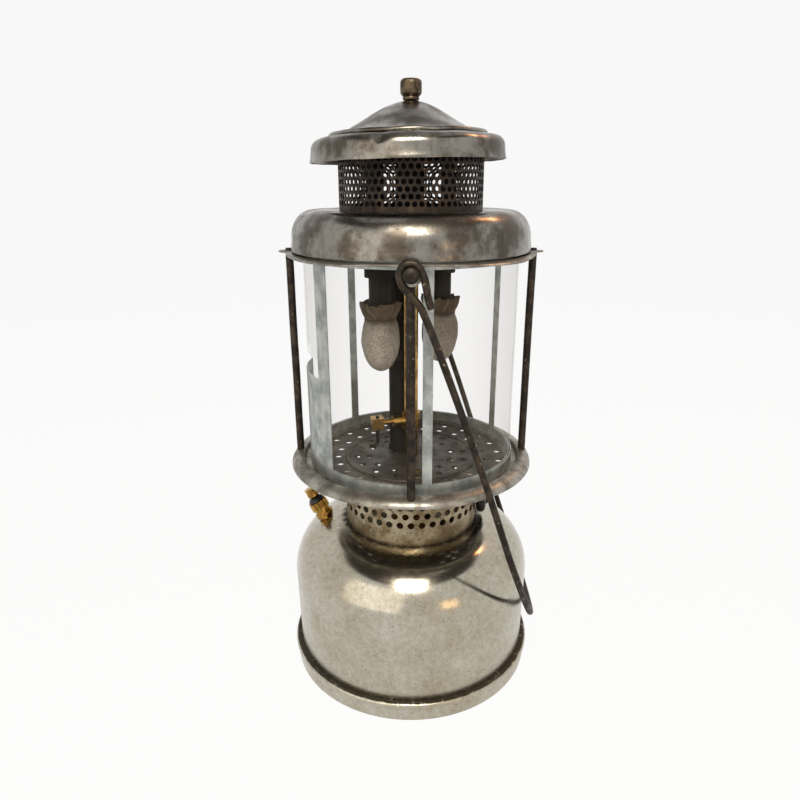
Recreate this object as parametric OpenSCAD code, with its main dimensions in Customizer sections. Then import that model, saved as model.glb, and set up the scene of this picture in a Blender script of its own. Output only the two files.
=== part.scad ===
/* [Fount] */
// Radius of the fount wall where the shoulder starts
fount_r = 71.2; // [66:0.1:78]
// How much narrower the wall is at its lower end
fount_taper = 1; // [0:0.1:2]
// Height of the wall's top edge above the floor
wall_top_z = 58.9; // [50:0.1:75]
// Reach of the rounded shoulder toward the centre
shoulder_run = 30; // [20:0.1:31.5]
// Rise of the rounded shoulder
shoulder_rise = 31.5; // [24:0.1:38]
// Sheet thickness of the fount
fount_t = 0.8; // [0.6:0.05:1.2]
// Outer radius of the foot rim
foot_r = 72.7; // [70:0.1:78]
// Width of the flat foot rim
foot_rim_w = 1.8; // [1.5:0.1:3]
// Height of the bead's middle above the floor
bead_z = 10; // [8:0.1:13]
// Section radius of the bead
bead_r = 2.1; // [1.5:0.05:2.6]
// How far the bead's middle lies outside the wall
bead_out = 1.7; // [1:0.05:2.2]
// Height of the dished floor's underside
dish_z = 9; // [7:0.1:11]
// Outer radius of the bush in the fount top
boss_r = 13; // [11.5:0.1:16]
// Depth of that bush below the deck
boss_h = 6; // [4:0.1:10]

/* [Collar and plate] */
// Outer radius of the collar
collar_r = 39.2; // [36:0.1:42]
// Height of the collar
collar_h = 38.8; // [36:0.1:44]
// Sheet thickness of the collar
collar_t = 0.8; // [0.6:0.05:1.2]
// Width of the collar's inward flange at the top
collar_flange_w = 5; // [3:0.1:8]
// Diameter of the collar's air holes
collar_hole_d = 3.8; // [3:0.05:4.4]
// Air holes in one row
collar_hole_n = 40; // [32:2:46]
// Rows of air holes
collar_rows = 4; // [1:1:4]
// Distance between the rows
collar_row_pitch = 5.4; // [4.6:0.05:6]
// Height of the lowest row above the deck
collar_row_z = 12.9; // [10:0.1:16]
// How much smaller the burner plate's radius is than the globe's
plate_inset = 0.75; // [0.5:0.05:2]
// Sheet thickness of the burner plate
plate_t = 0.8; // [0.6:0.05:1.2]
// Diameter of the plate's air holes
plate_hole_d = 3.7; // [2.5:0.05:4.2]
// Radius of each inner ring of air holes
plate_inner_r = [24.5, 31.5]; // [22:0.1:33]
// Distance of each outer ring of air holes from the plate's edge
plate_outer_in = [15, 6.2]; // [4:0.1:16]
// Air holes in each ring
plate_ring_n = [12, 16, 24, 24]; // [8:1:24]
// Distance of the plate's raised bead inside the collar's wall
plate_bead_in = 1.7; // [1:0.1:3]
// Section radius of that bead
plate_bead_h = 1; // [0.9:0.05:1.6]

/* [Cage] */
// Width of the base ring's flange outside its crest
flange_w = 6.8; // [5.5:0.1:9]
// Sheet thickness of the base ring
base_t = 1; // [0.8:0.05:1.4]
// Width of the seat inside the globe
seat_ledge = 3.75; // [2.5:0.05:5]
// Play round the globe in its seat
seat_play = 3.25; // [1.5:0.05:4]
// Height of the step outside the seat
seat_step = 3; // [1.5:0.1:5]
// Slant of the step
seat_slant = 1; // [0.5:0.1:1.2]
// Fall of the flange from its crest to its edge
base_drop = 4.5; // [3:0.1:7]
// Diameter of the cage posts
post_d = 4.2; // [3.2:0.1:5]
// Distance of the posts' middle outside the base ring's crest
post_out = 2.6; // [2.4:0.1:4]
// Height of the cage, from the globe's seat to the top ring
cage_h = 117.7; // [114:0.1:130]
// Sheet thickness of the top ring
top_t = 1; // [0.8:0.05:1.4]
// Play round the globe in the top ring
top_play = 1.75; // [0.5:0.05:2.5]
// Width of the top ring between the posts
top_w = 6; // [5:0.1:8]
// Radius of the round lobes at the posts
lobe_r = 5; // [4:0.1:6]
// Thickness of the rivet heads on the posts
post_head_t = 1.2; // [0.8:0.05:2]

/* [Bail] */
// Wire diameter of the bail
bail_d = 3.5; // [2.5:0.05:4]
// Reach of the bail from its pivots to the wire's middle
bail_reach = 221; // [214:0.1:250]
// Depth of the pivots below the top ring
pivot_drop = 3.9; // [3.5:0.1:5]
// Shank diameter of the bail rivets
rivet_d = 3; // [2.4:0.05:3.6]
// Head diameter of the bail rivets
rivet_head_d = 6.5; // [5.4:0.1:7.5]
// Height of the outer rivet heads
rivet_head_h = 1.9; // [1.2:0.1:2.6]
// Radius of the ears' round ends
ear_r = 5.5; // [5:0.1:6.5]

/* [Globe] */
// Outer radius of the globe's metal frame
globe_r = 58.75; // [58:0.05:59.3]
// Height of the globe
globe_h = 118; // [110:0.1:119]
// Sheet thickness of the globe's metal frame
globe_t = 0.6; // [0.4:0.05:0.8]
// Thickness of the mica
mica_t = 0.4; // [0.25:0.05:0.6]
// Height of the globe's bottom ring
globe_low_h = 6; // [4:0.1:9]
// Height of the globe's top ring
globe_high_h = 4; // [3:0.1:9]
// Bearings of the upright strips, from the front toward the right
strip_bearing = [8, 119, 219, 310]; // [0:1:360]
// Width of each upright strip
strip_w = [5, 5, 5, 10]; // [4:0.1:11]
// Height of the tin panel under the lighting hole
panel_h = 49; // [30:0.5:60]
// Angle that the tin panel covers, seen from above
panel_span = 45; // [30:0.5:55]
// Height of the lighting hole
light_hole_h = 10; // [8:0.1:14]

/* [Ventilator] */
// Height of the ventilator's rim above the top ring
vent_rim_rise = 2.8; // [1.5:0.1:5]
// Radius of the shell's rim
shell_r = 63.4; // [62:0.1:66]
// Height of the shell's straight side
shell_side_h = 4.5; // [3:0.1:8]
// Reach of the shell's round corner
shell_run = 11.4; // [8:0.1:14]
// Rise of the shell's round corner
shell_rise = 13.7; // [10:0.1:17]
// Ledge of the shell's top inside the gallery
shell_ledge = 4.6; // [3:0.1:8]
// Sheet thickness of the ventilator
vent_t = 0.7; // [0.5:0.05:1]
// Outer radius of the gallery
gallery_r = 37.6; // [36.5:0.1:37.8]
// Height of the gallery
gallery_h = 34; // [32.5:0.1:36]
// Diameter of the gallery's holes
gallery_hole_d = 2.6; // [1.5:0.05:2.8]
// Holes in one row of the gallery
gallery_hole_n = 68; // [56:2:72]
// Rows of holes in the gallery
gallery_rows = 7; // [1:1:8]
// Distance between the rows of holes
gallery_row_pitch = 3.37; // [3:0.01:3.7]
// Height of the lowest row above the gallery's lower edge
gallery_row_z = 3.5; // [2.5:0.1:4.5]
// Reach of the cap's round corner
cap_run = 7.2; // [5:0.1:10]
// Height of the cap's side
cap_side_h = 6.1; // [4:0.1:9]
// Width of the cap's flat deck outside the gallery
cap_ledge = 5.4; // [4.5:0.1:8]
// How far the cap's rim hangs below the gallery's top edge
cap_overlap = 10.5; // [8:0.1:13]
// Section radius of the bead where the bell meets the deck
cap_bead = 1.2; // [0.8:0.05:1.4]
// Height of the bell above the deck
bell_h = 17; // [11:0.1:19]
// Share of a half wave that the bell's curve takes, in degrees
bell_sweep = 155; // [120:1:170]
// Width of the spider's straps
spider_w = 11; // [6:0.1:14]
// Radius of the circle that the spider's legs stand on
spider_r = 23; // [15:0.1:26]
// Thickness of the spider's straps
spider_t = 1; // [0.7:0.05:1.4]
// Diameter of the stud
stud_d = 5; // [4:0.1:6]
// Height of the stud nut
stud_nut_h = 4; // [3:0.1:6]
// Radius of the ball nut
ball_r = 5.4; // [4.6:0.1:7]
// Height of the ball nut
ball_h = 9.6; // [8:0.1:14]
// Radius of the ball nut's neck
ball_neck_r = 4; // [3.4:0.1:4.4]

/* [Burner] */
// Bearing of the right mantle, from the right toward the back
burner_turn = 32.5; // [0:0.5:45]
// Distance of the mantles from the centre
mantle_circle_r = 19.6; // [18.5:0.1:22]
// Height of the burner arm's middle above the burner plate
arm_rise = 116; // [112:0.1:117]
// Radius of the burner arm
arm_r = 7.6; // [7.3:0.1:8.4]
// Outer radius of the burner tubes
burner_tube_r = 6; // [5:0.1:6.4]
// Length of the burner tubes
burner_tube_l = 30; // [26:0.1:34]
// Wall of the burner tubes
burner_tube_t = 1; // [0.6:0.05:1.4]
// Length of the burner screens
screen_l = 12; // [10:0.1:15]
// Wall of the burner screens
screen_t = 0.8; // [0.5:0.05:1]
// Greatest radius of the mantles
mantle_r = 10.4; // [9:0.1:11.5]
// Height of the mantles below their tie
mantle_h = 29; // [22:0.2:40]
// Height of the ruffle above the tie
ruffle_h = 9; // [6:0.1:11]
// Radius of the ruffle's edge
ruffle_r = 10.2; // [9.6:0.1:11.5]
// Gathers round the ruffle
ruffle_n = 9; // [5:1:9]
// Thickness of the mantle's cloth
cloth_t = 0.6; // [0.4:0.05:0.8]
// Outer radius of the air tube
air_tube_r = 6.5; // [5.5:0.1:6.8]
// Wall of the air tube
air_tube_t = 1; // [0.6:0.05:1.4]
// Gap between the air tube and the cleaner's block
air_tube_gap = 0.3; // [0.2:0.05:1.5]
// Outer radius of the generator
generator_r = 4; // [3.2:0.1:4.2]
// Height of the generator's nut
generator_nut_h = 4.25; // [3:0.05:6]
// Radius of the generator's bore
generator_bore_r = 2.4; // [1.8:0.1:2.6]
// Height of the tip cleaner's stem above the burner plate
cleaner_rise = 22; // [18:0.1:40]
// Bearing of the tip cleaner's stem, from the left toward the front
cleaner_turn = 17.5; // [0:0.5:40]
// Distance of the cleaner's square head from the centre
cleaner_reach = 17; // [15:0.1:22]
// Side of the cleaner's square head
cleaner_head_w = 6.6; // [5:0.1:8]
// Radius of the cleaner's stem
cleaner_stem_r = 1.6; // [1.2:0.05:1.9]
// Wire diameter of the cleaner's lever
lever_d = 2; // [1.4:0.05:2.4]
// Length of the cleaner's lever
lever_l = 14; // [9:0.1:15]

/* [Valve] */
// Height of the valve stem above the deck
valve_rise = 10.2; // [10:0.1:11]
// Radius of the valve body
valve_r = 8; // [7.5:0.1:9]
// Corner radius of the valve body's hexagon
valve_hex_r = 14; // [12:0.1:16]
// Height of the valve body's hexagon
valve_hex_h = 2.6; // [2:0.05:2.9]
// Radius of the valve stem
stem_r = 2.5; // [2:0.05:2.8]
// Diameter of the valve wheel
wheel_d = 18; // [16:0.1:18.6]
// Thickness of the valve wheel
wheel_t = 5.2; // [4:0.1:7]
// Finger grooves round the valve wheel
wheel_grip_n = 10; // [6:1:12]
// Gap between the collar and the valve wheel
wheel_gap = 0.7; // [0.4:0.05:1.5]
// Radius of the pickup tube
pickup_r = 3; // [2:0.05:3.6]

/* [Filler] */
// Distance of the filler's middle outside the fount's flat deck
filler_in = 13.8; // [8:0.1:18]
// Bearing of the filler, from the left toward the back
filler_turn = 7.5; // [-15:0.5:20]
// Outer radius of the filler neck
neck_r = 4.6; // [4.4:0.05:6]
// Radius of the filler neck's bore
neck_bore_r = 3.6; // [2.8:0.05:4]
// Height of the filler neck above the shoulder
neck_h = 6.2; // [5:0.1:13]
// Width of the flange round the neck's foot
neck_flange_w = 1; // [0.8:0.1:3]
// Wall of the filler cap outside the neck
filler_cap_w = 1.1; // [0.9:0.05:2]
// Height of the filler cap
filler_cap_h = 5.4; // [4:0.1:6.5]
// Flutes round the filler cap
flute_n = 16; // [10:1:18]
// Radius of the plug where it passes through the cap
plug_r = 3; // [2.6:0.05:3.8]
// Distance of the plug's dome inside the cap's edge
dome_in = 0.7; // [0.3:0.05:1.5]
// Height of the plug's dome
plug_dome_h = 3.4; // [1.5:0.1:4]
// Radius of the air screw's knurled head
air_head_r = 3.6; // [2.6:0.05:4.4]
// Height of the air screw's knurled head
air_head_h = 5.2; // [3:0.1:8]
// Radius of the air screw's shank
air_shank_r = 1.5; // [1:0.05:1.8]

/* [Fits] */
// Radial play of a shaft in its hole
run_play = 0.06; // [0.03:0.01:0.1]
// Play between pieces that are fixed together
fix_play = 0.05; // [0.03:0.01:0.1]
// Gap between a loose piece and what it rests on
rest_gap = 0.3; // [0.2:0.05:0.5]

/* [Hidden] */
$fn = 64;
bit = 0.01;

// Fount levels: the wall starts on the bead, the deck is the flat top
fount_low_r = fount_r - fount_taper;
wall_low_z = bead_z + bead_r + 0.1;
deck_z = wall_top_z + shoulder_rise;
shoulder_r = fount_r - shoulder_run;

// Collar, plate and cage levels
collar_low_z = deck_z + fix_play;
collar_top_z = collar_low_z + collar_h;
plate_low_z = collar_top_z + fix_play;
plate_z = plate_low_z + plate_t;
plate_r = globe_r - plate_inset;
plate_ring_r = concat(plate_inner_r, [for (inset = plate_outer_in) plate_r - inset]);
plate_bead_r = collar_r - plate_bead_in;
seat_z = plate_z + fix_play + base_t;
seat_in_r = globe_r - seat_ledge;
seat_out_r = globe_r + seat_play;
base_crest_r = seat_out_r + seat_slant;
base_crest_z = seat_z + seat_step;
base_r = base_crest_r + flange_w;
globe_low_z = seat_z + rest_gap;
globe_top_z = globe_low_z + globe_h;
top_z = seat_z + cage_h;
top_in_r = globe_r + top_play;
top_out_r = top_in_r + top_w;
post_circle_r = base_crest_r + post_out;
post_r = post_d / 2;
post_head_r = post_r + 0.7;
// The posts' lower heads clear the flange's underside, which is lowest at its edge
post_low_z = base_crest_z - base_drop - rest_gap;

// Bail pivots: ear sheet outside the post, then the eye, then the rivet head
pivot_z = top_z - pivot_drop;
ear_in_y = post_circle_r + post_r + 1.2;
ear_out_y = ear_in_y + top_t;
rivet_r = rivet_d / 2;
eye_y = ear_out_y + rest_gap + bail_d / 2;
eye_r = rivet_r + run_play + bail_d / 2;
rivet_head_y = eye_y + bail_d / 2 + rest_gap;
bail_leg_l = bail_reach - eye_y;
// The hanging bail leans on the fount's wall, or a long one on the bead below it
lean_play = bail_d / 2 + rest_gap;
wall_lean_z = pivot_z - sqrt(bail_reach * bail_reach - pow(fount_r + lean_play, 2));
lean_r = wall_lean_z > wall_low_z + bail_d ? fount_r : fount_low_r + bead_out + bead_r;
bail_tip_x = lean_r + lean_play;
bail_tilt = asin(bail_tip_x / bail_reach);

// Globe layers, from the mica outward
mica_out_r = globe_r - globe_t - fix_play;
mica_in_r = mica_out_r - mica_t;
channel_in_r = mica_in_r - fix_play - globe_t;
strip_low_z = globe_low_z + globe_low_h + fix_play;
strip_top_z = globe_top_z - globe_high_h - fix_play;
mica_low_z = globe_low_z + globe_t + fix_play;
mica_top_z = globe_top_z - globe_t - fix_play;
panel_top_z = strip_low_z + panel_h;
strip_count = len(strip_bearing);
panel_strip = strip_count - 1;
panel_end = strip_bearing[panel_strip] - strip_angle(panel_strip) / 2;

// Ventilator levels
shell_rim_z = top_z + vent_rim_rise;
shell_hole_r = gallery_r - shell_ledge;
cap_deck_r = gallery_r + cap_ledge;
cap_r = cap_deck_r + cap_run;
shell_top_z = shell_rim_z + shell_side_h + shell_rise;
gallery_low_z = shell_top_z + fix_play;
gallery_top_z = gallery_low_z + gallery_h;
cap_rim_z = gallery_top_z - cap_overlap;
cap_deck_z = gallery_top_z + vent_t + rest_gap;
bell_top_z = cap_deck_z + bell_h;
spider_foot_r = gallery_r - vent_t - rest_gap;
spider_top_z = gallery_top_z - 1;
stud_r = stud_d / 2;
stud_nut_top_z = spider_top_z - spider_t - rest_gap;
stud_top_z = bell_top_z + ball_h - 3;

// Burner levels
arm_z = plate_z + arm_rise;
socket_l = 10;
burner_top_z = arm_z - 3;
burner_low_z = burner_top_z - burner_tube_l;
socket_low_z = arm_z - socket_l;
screen_in_r = burner_tube_r + fix_play;
screen_r = screen_in_r + screen_t;
screen_low_z = burner_low_z - 3;
tie_z = screen_low_z + 3.5;
tie_r = screen_r + rest_gap + cloth_t;
air_socket_low_z = arm_z - 14;
air_top_z = arm_z - 6;
generator_top_z = arm_z - 10;
jet_h = 5;
jet_spigot_l = 3;
orifice_r = 0.45;
needle_r = 0.6;
needle_tip_r = orifice_r - 0.15;
cleaner_z = plate_z + cleaner_rise;
block_r = generator_r + 1.2;
air_tube_off = block_r + air_tube_gap + air_tube_r;
block_h = 10;

// Valve levels
valve_z = collar_low_z + collar_t + valve_rise - fix_play;
valve_foot_z = collar_low_z + collar_t + fix_play;
generator_nut_top_z = plate_low_z - 0.6;
valve_top_z = generator_nut_top_z - generator_nut_h - fix_play;
generator_low_z = valve_top_z - 6;
valve_spigot_r = valve_r + 1;
side_boss_l = 20;
side_boss_w = 4;
packing_l = 8;
wheel_x = collar_r + wheel_gap;
wheel_hub_r = stem_r + 2;

// Filler: its axis follows the shoulder's own slope
filler_off = shoulder_r + filler_in;
filler_u = filler_in / shoulder_run;
filler_z = wall_top_z + shoulder_rise * sqrt(1 - filler_u * filler_u);
filler_tilt = atan(shoulder_rise / shoulder_run * filler_u / sqrt(1 - filler_u * filler_u));
flange_r = neck_r + neck_flange_w;
filler_cap_r = neck_r + filler_cap_w;
gasket_t = 0.8;
gasket_z = neck_h + fix_play;
plug_flange_z = gasket_z + gasket_t + fix_play;
plug_flange_t = 1;
cap_web_z = plug_flange_z + plug_flange_t + fix_play;
cap_web_t = 1.1;
cap_low = cap_web_z + cap_web_t - filler_cap_h;
plug_dome_z = cap_web_z + cap_web_t + rest_gap;
plug_dome_r = filler_cap_r - dome_in;
air_head_z = plug_dome_z + plug_dome_h + rest_gap;

// Points on an elliptic arc about c
function arc(c, a, b, from, to, steps) = [
    for (i = [0 : steps])
        let (t = from + (to - from) * i / steps)
            [c[0] + a * cos(t), c[1] + b * sin(t)]
];
function unit(v) = v / norm(v);
function left_of(v) = [-v[1], v[0]];
function backward(path) = [for (i = [len(path) - 1 : -1 : 0]) path[i]];
// A path moved to its left by t, mitred at the corners
function beside(path, t) = [
    for (i = [0 : len(path) - 1])
        let (
            j = max(i, 1),
            k = min(i + 1, len(path) - 1),
            before = left_of(unit(path[j] - path[j - 1])),
            after = left_of(unit(path[k] - path[k - 1])),
            mitre = unit(before + after)
        )
            path[i] + mitre * t / (mitre * before)
];
function sheet_outline(path, t) = concat(path, backward(beside(path, t)));
// Angle that upright strip i covers
function strip_angle(i) = 2 * asin(strip_w[i] / 2 / globe_r);

module lathe(outline) {
    rotate_extrude($fn = 96) polygon(outline);
}

// A pressed sheet of revolution: path is its outer face, from rim to centre
module pressed(path, t) {
    lathe(sheet_outline(path, t));
}

module tube(r, bore_r, z0, z1) {
    difference() {
        translate([0, 0, z0]) cylinder(r = r, h = z1 - z0, $fn = 96);
        translate([0, 0, z0 - 1]) cylinder(r = bore_r, h = z1 - z0 + 2, $fn = 96);
    }
}

// A sheet of part of a cylinder: bearing a0 to a1 from the front toward the right
module sector(r0, r1, z0, z1, a0, a1) {
    rotate([0, 0, a0 - 90]) rotate_extrude(angle = a1 - a0, $fn = 96)
        translate([r0, z0]) square([r1 - r0, z1 - z0]);
}

// Staggered rows of round holes through a wall of outer radius r
module wall_holes(r, t, d, count, rows, z0, pitch) {
    for (row = [0 : rows - 1])
        for (i = [0 : count - 1])
            rotate([0, 0, (i + (row % 2) / 2) * 360 / count])
                translate([r - t - 0.5, 0, z0 + row * pitch])
                    rotate([0, 90, 0]) cylinder(d = d, h = t + 1, $fn = 24);
}

module hexagon(r, z0, z1) {
    translate([0, 0, z0]) cylinder(r = r, h = z1 - z0, $fn = 6);
}

module along_x(z) {
    translate([0, 0, z]) rotate([0, 90, 0]) children();
}

// Filler pieces are drawn upright from the shoulder and then set on the fount
module at_filler() {
    rotate([0, 0, 180 - filler_turn]) translate([filler_off, 0, filler_z])
        rotate([0, filler_tilt, 0]) children();
}

module at_mantle(side) {
    rotate([0, 0, burner_turn]) translate([side * mantle_circle_r, 0, 0]) children();
}

module at_air_tube() {
    rotate([0, 0, burner_turn + 90]) translate([air_tube_off, 0, 0]) children();
}

// The cleaner's stem is drawn along +X and then turned to the left front
module at_cleaner() {
    translate([0, 0, cleaner_z]) rotate([0, 0, 180 + cleaner_turn]) children();
}

module fount() {
    path = concat(
        [[fount_low_r, wall_low_z]],
        arc([shoulder_r, wall_top_z], shoulder_run, shoulder_rise, 0, 90, 14),
        [[boss_r + fix_play, deck_z]]
    );
    color([0.78, 0.74, 0.66]) difference() {
        pressed(path, fount_t);
        at_filler() translate([0, 0, -10]) cylinder(r = flange_r + fix_play, h = 20);
    }
}

module fount_bottom() {
    skirt_r = fount_low_r + bead_out + 0.4;
    skirt_z = bead_z - bead_r - 0.2;
    slant = (skirt_r - foot_r) / skirt_z;
    bead = arc([fount_low_r + bead_out, bead_z], bead_r, bead_r, -60, 60, 8);
    dish_r = foot_r - 14;
    dish_foot_z = dish_z * 0.6;
    fold_w = 3.7;
    fold_z = 3 * fount_t;
    dish_edge_r = foot_r + slant * dish_foot_z - fold_w;
    outline = concat(
        [[0, dish_z], [dish_r, dish_z], [dish_edge_r, dish_foot_z]],
        [[foot_r - foot_rim_w, 0], [foot_r, 0], [skirt_r, skirt_z]],
        bead,
        [[fount_low_r, wall_low_z - fix_play], [fount_low_r - fount_t, wall_low_z - fix_play]],
        [[skirt_r - fount_t, bead_z - bead_r], [foot_r + slant * fold_z - fount_t, fold_z]],
        [[dish_edge_r + 1, dish_foot_z + fount_t], [dish_r, dish_z + fount_t], [0, dish_z + fount_t]]
    );
    color([0.76, 0.72, 0.64]) lathe(outline);
}

module fount_boss() {
    color("goldenrod") tube(boss_r, valve_spigot_r + fix_play, deck_z - boss_h, deck_z);
}

module filler_neck() {
    color("peru") at_filler() difference() {
        union() {
            translate([0, 0, -4]) cylinder(r = neck_r, h = neck_h + 4);
            translate([0, 0, -2.2]) cylinder(r = flange_r, h = 3.4);
        }
        translate([0, 0, -5]) cylinder(r = neck_bore_r, h = neck_h + 10);
    }
}

module filler_gasket() {
    color("black") at_filler()
        tube(neck_r - fix_play, neck_bore_r, gasket_z, gasket_z + gasket_t);
}

// The cap turns between the plug's flange and its dome
module filler_plug() {
    crown_r = air_shank_r + 0.8;
    dome = arc([0, plug_dome_z], plug_dome_r, plug_dome_h, 0, acos(crown_r / plug_dome_r), 8);
    color([0.16, 0.14, 0.12]) at_filler() difference() {
        union() {
            translate([0, 0, plug_flange_z]) cylinder(r = neck_r - fix_play, h = plug_flange_t);
            translate([0, 0, plug_flange_z]) cylinder(r = plug_r, h = plug_dome_z - plug_flange_z + bit);
            lathe(concat([[0, plug_dome_z]], dome, [[0, dome[len(dome) - 1][1]]]));
        }
        cylinder(r = air_shank_r + run_play, h = 40);
    }
}

module filler_cap() {
    flute_r = 0.55;
    color("goldenrod") at_filler() difference() {
        translate([0, 0, cap_low]) cylinder(r = filler_cap_r, h = filler_cap_h);
        translate([0, 0, cap_low - 1])
            cylinder(r = neck_r + run_play + fix_play, h = cap_web_z - cap_low + 1);
        cylinder(r = plug_r + run_play, h = 40);
        for (i = [0 : flute_n - 1])
            rotate([0, 0, i * 360 / flute_n]) translate([filler_cap_r + 0.1, 0, cap_low - 1])
                cylinder(r = flute_r, h = filler_cap_h + 2, $fn = 16);
    }
}

module air_screw() {
    knurl_n = 24;
    color("darkgoldenrod") at_filler() union() {
        difference() {
            translate([0, 0, air_head_z]) cylinder(r = air_head_r, h = air_head_h);
            for (i = [0 : knurl_n - 1])
                rotate([0, 0, i * 360 / knurl_n]) translate([air_head_r + 0.1, 0, air_head_z + 0.6])
                    cylinder(r = 0.3, h = air_head_h - 1.2, $fn = 16);
        }
        translate([0, 0, plug_flange_z])
            cylinder(r = air_shank_r, h = air_head_z - plug_flange_z + bit);
    }
}

module valve_body() {
    fuel_r = 1.6;
    color("goldenrod") difference() {
        union() {
            translate([0, 0, deck_z - boss_h]) cylinder(r = valve_spigot_r, h = boss_h + 2);
            hexagon(valve_hex_r, valve_foot_z, valve_foot_z + valve_hex_h);
            translate([0, 0, valve_foot_z]) cylinder(r = valve_r, h = valve_top_z - valve_foot_z);
            along_x(valve_z) cylinder(r = stem_r + side_boss_w, h = side_boss_l);
        }
        translate([0, 0, deck_z - boss_h - 1]) cylinder(r = fuel_r, h = 60);
        translate([0, 0, deck_z - boss_h - 1]) cylinder(r = pickup_r + fix_play, h = 1 + boss_h);
        translate([0, 0, generator_low_z]) cylinder(r = generator_r + fix_play, h = 20);
        along_x(valve_z) translate([0, 0, 5]) cylinder(r = stem_r + run_play, h = side_boss_l);
    }
}

module pickup_tube() {
    color("peru") tube(pickup_r, pickup_r - 0.8, dish_z + fount_t + 5, deck_z - fix_play);
}

module packing_nut() {
    color("goldenrod") along_x(valve_z) difference() {
        hexagon(stem_r + 4.6, side_boss_l + fix_play, side_boss_l + packing_l);
        cylinder(r = stem_r + run_play, h = side_boss_l + packing_l + 1);
    }
}

module valve_stem() {
    color("dimgray") along_x(valve_z) difference() {
        union() {
            translate([0, 0, 8]) cylinder(r = stem_r, h = wheel_x + wheel_t - 8);
            translate([0, 0, 6]) cylinder(r1 = 0.6, r2 = stem_r, h = 2);
        }
        translate([0, 0, wheel_x]) cylinder(r = 1 + fix_play, h = wheel_t + 1);
    }
}

module valve_wheel() {
    rim_r = wheel_t / 2;
    mid_r = wheel_d / 2 - rim_r;
    dish = 0.5;
    outline = concat(
        [[stem_r + fix_play, dish], [wheel_hub_r, dish]],
        arc([mid_r, rim_r], rim_r, rim_r, -90, 90, 9),
        [[wheel_hub_r, wheel_t - dish], [stem_r + fix_play, wheel_t - dish]]
    );
    color([0.13, 0.12, 0.11]) along_x(valve_z) translate([0, 0, wheel_x]) difference() {
        lathe(outline);
        for (i = [0 : wheel_grip_n - 1])
            rotate([0, 0, (i + 0.5) * 360 / wheel_grip_n]) translate([wheel_d / 2 + 0.9, 0, -1])
                cylinder(r = 1.6, h = wheel_t + 2, $fn = 24);
    }
}

module wheel_screw() {
    color("gray") along_x(valve_z) difference() {
        union() {
            translate([0, 0, wheel_x + 1]) cylinder(r = 1, h = wheel_t);
            translate([0, 0, wheel_x + wheel_t + fix_play])
                cylinder(r1 = wheel_hub_r, r2 = wheel_hub_r - 0.8, h = 1.6);
        }
        translate([-0.4, -10, wheel_x + wheel_t + 0.9]) cube([0.8, 20, 2]);
    }
}

// Perforated wall with a narrow flange that carries the plate
module collar() {
    path = [
        [collar_r, collar_low_z], [collar_r, collar_top_z], [collar_r - collar_flange_w, collar_top_z]
    ];
    color([0.66, 0.58, 0.44]) difference() {
        pressed(path, collar_t);
        wall_holes(collar_r, collar_t, collar_hole_d, collar_hole_n, collar_rows,
            deck_z + collar_row_z, collar_row_pitch);
        along_x(valve_z) cylinder(r = stem_r + 1.5, h = collar_r + 5);
    }
}

// Flat disc that holds the collar down under the valve body
module collar_base() {
    color([0.62, 0.54, 0.41])
        tube(collar_r - collar_t - fix_play, valve_spigot_r + rest_gap, collar_low_z, collar_low_z + collar_t);
}

module burner_plate() {
    bead_a = plate_bead_h * 1.6;
    path = concat(
        [[plate_r, plate_z]],
        arc([plate_bead_r, plate_z], bead_a, plate_bead_h, 0, 180, 8),
        [[generator_r + rest_gap, plate_z]]
    );
    color([0.29, 0.27, 0.25]) difference() {
        pressed(path, plate_t);
        for (ring = [0 : len(plate_ring_r) - 1])
            for (i = [0 : plate_ring_n[ring] - 1])
                rotate([0, 0, (i + 0.3) * 360 / plate_ring_n[ring]])
                    translate([plate_ring_r[ring], 0, plate_low_z - 1])
                        cylinder(d = plate_hole_d, h = plate_t + 4, $fn = 24);
        at_air_tube() translate([0, 0, plate_low_z - 1])
            cylinder(r = air_tube_r + fix_play, h = plate_t + 4);
    }
}

module base_ring() {
    path = concat(
        arc([base_crest_r, base_crest_z - base_drop], flange_w, base_drop, 0, 90, 10),
        [[seat_out_r, seat_z], [seat_in_r, seat_z]]
    );
    color([0.38, 0.36, 0.33]) difference() {
        pressed(path, base_t);
        for (i = [0 : 3])
            rotate([0, 0, i * 90]) translate([post_circle_r, 0, seat_z - 20])
                cylinder(r = post_r + fix_play, h = 40);
    }
}

// One post, riveted over above the top ring and below the base ring
module post(turn) {
    color([0.33, 0.28, 0.22]) rotate([0, 0, turn]) translate([post_circle_r, 0, 0]) union() {
        translate([0, 0, post_low_z]) cylinder(r = post_r, h = top_z + post_head_t - post_low_z);
        translate([0, 0, post_low_z - post_head_t])
            cylinder(r1 = post_r, r2 = post_head_r, h = post_head_t);
        translate([0, 0, top_z + fix_play])
            cylinder(r1 = post_head_r, r2 = post_r - 0.6, h = post_head_t);
    }
}

module post_front() { post(-90); }
module post_right() { post(0); }
module post_back() { post(90); }
module post_left() { post(180); }

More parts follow.
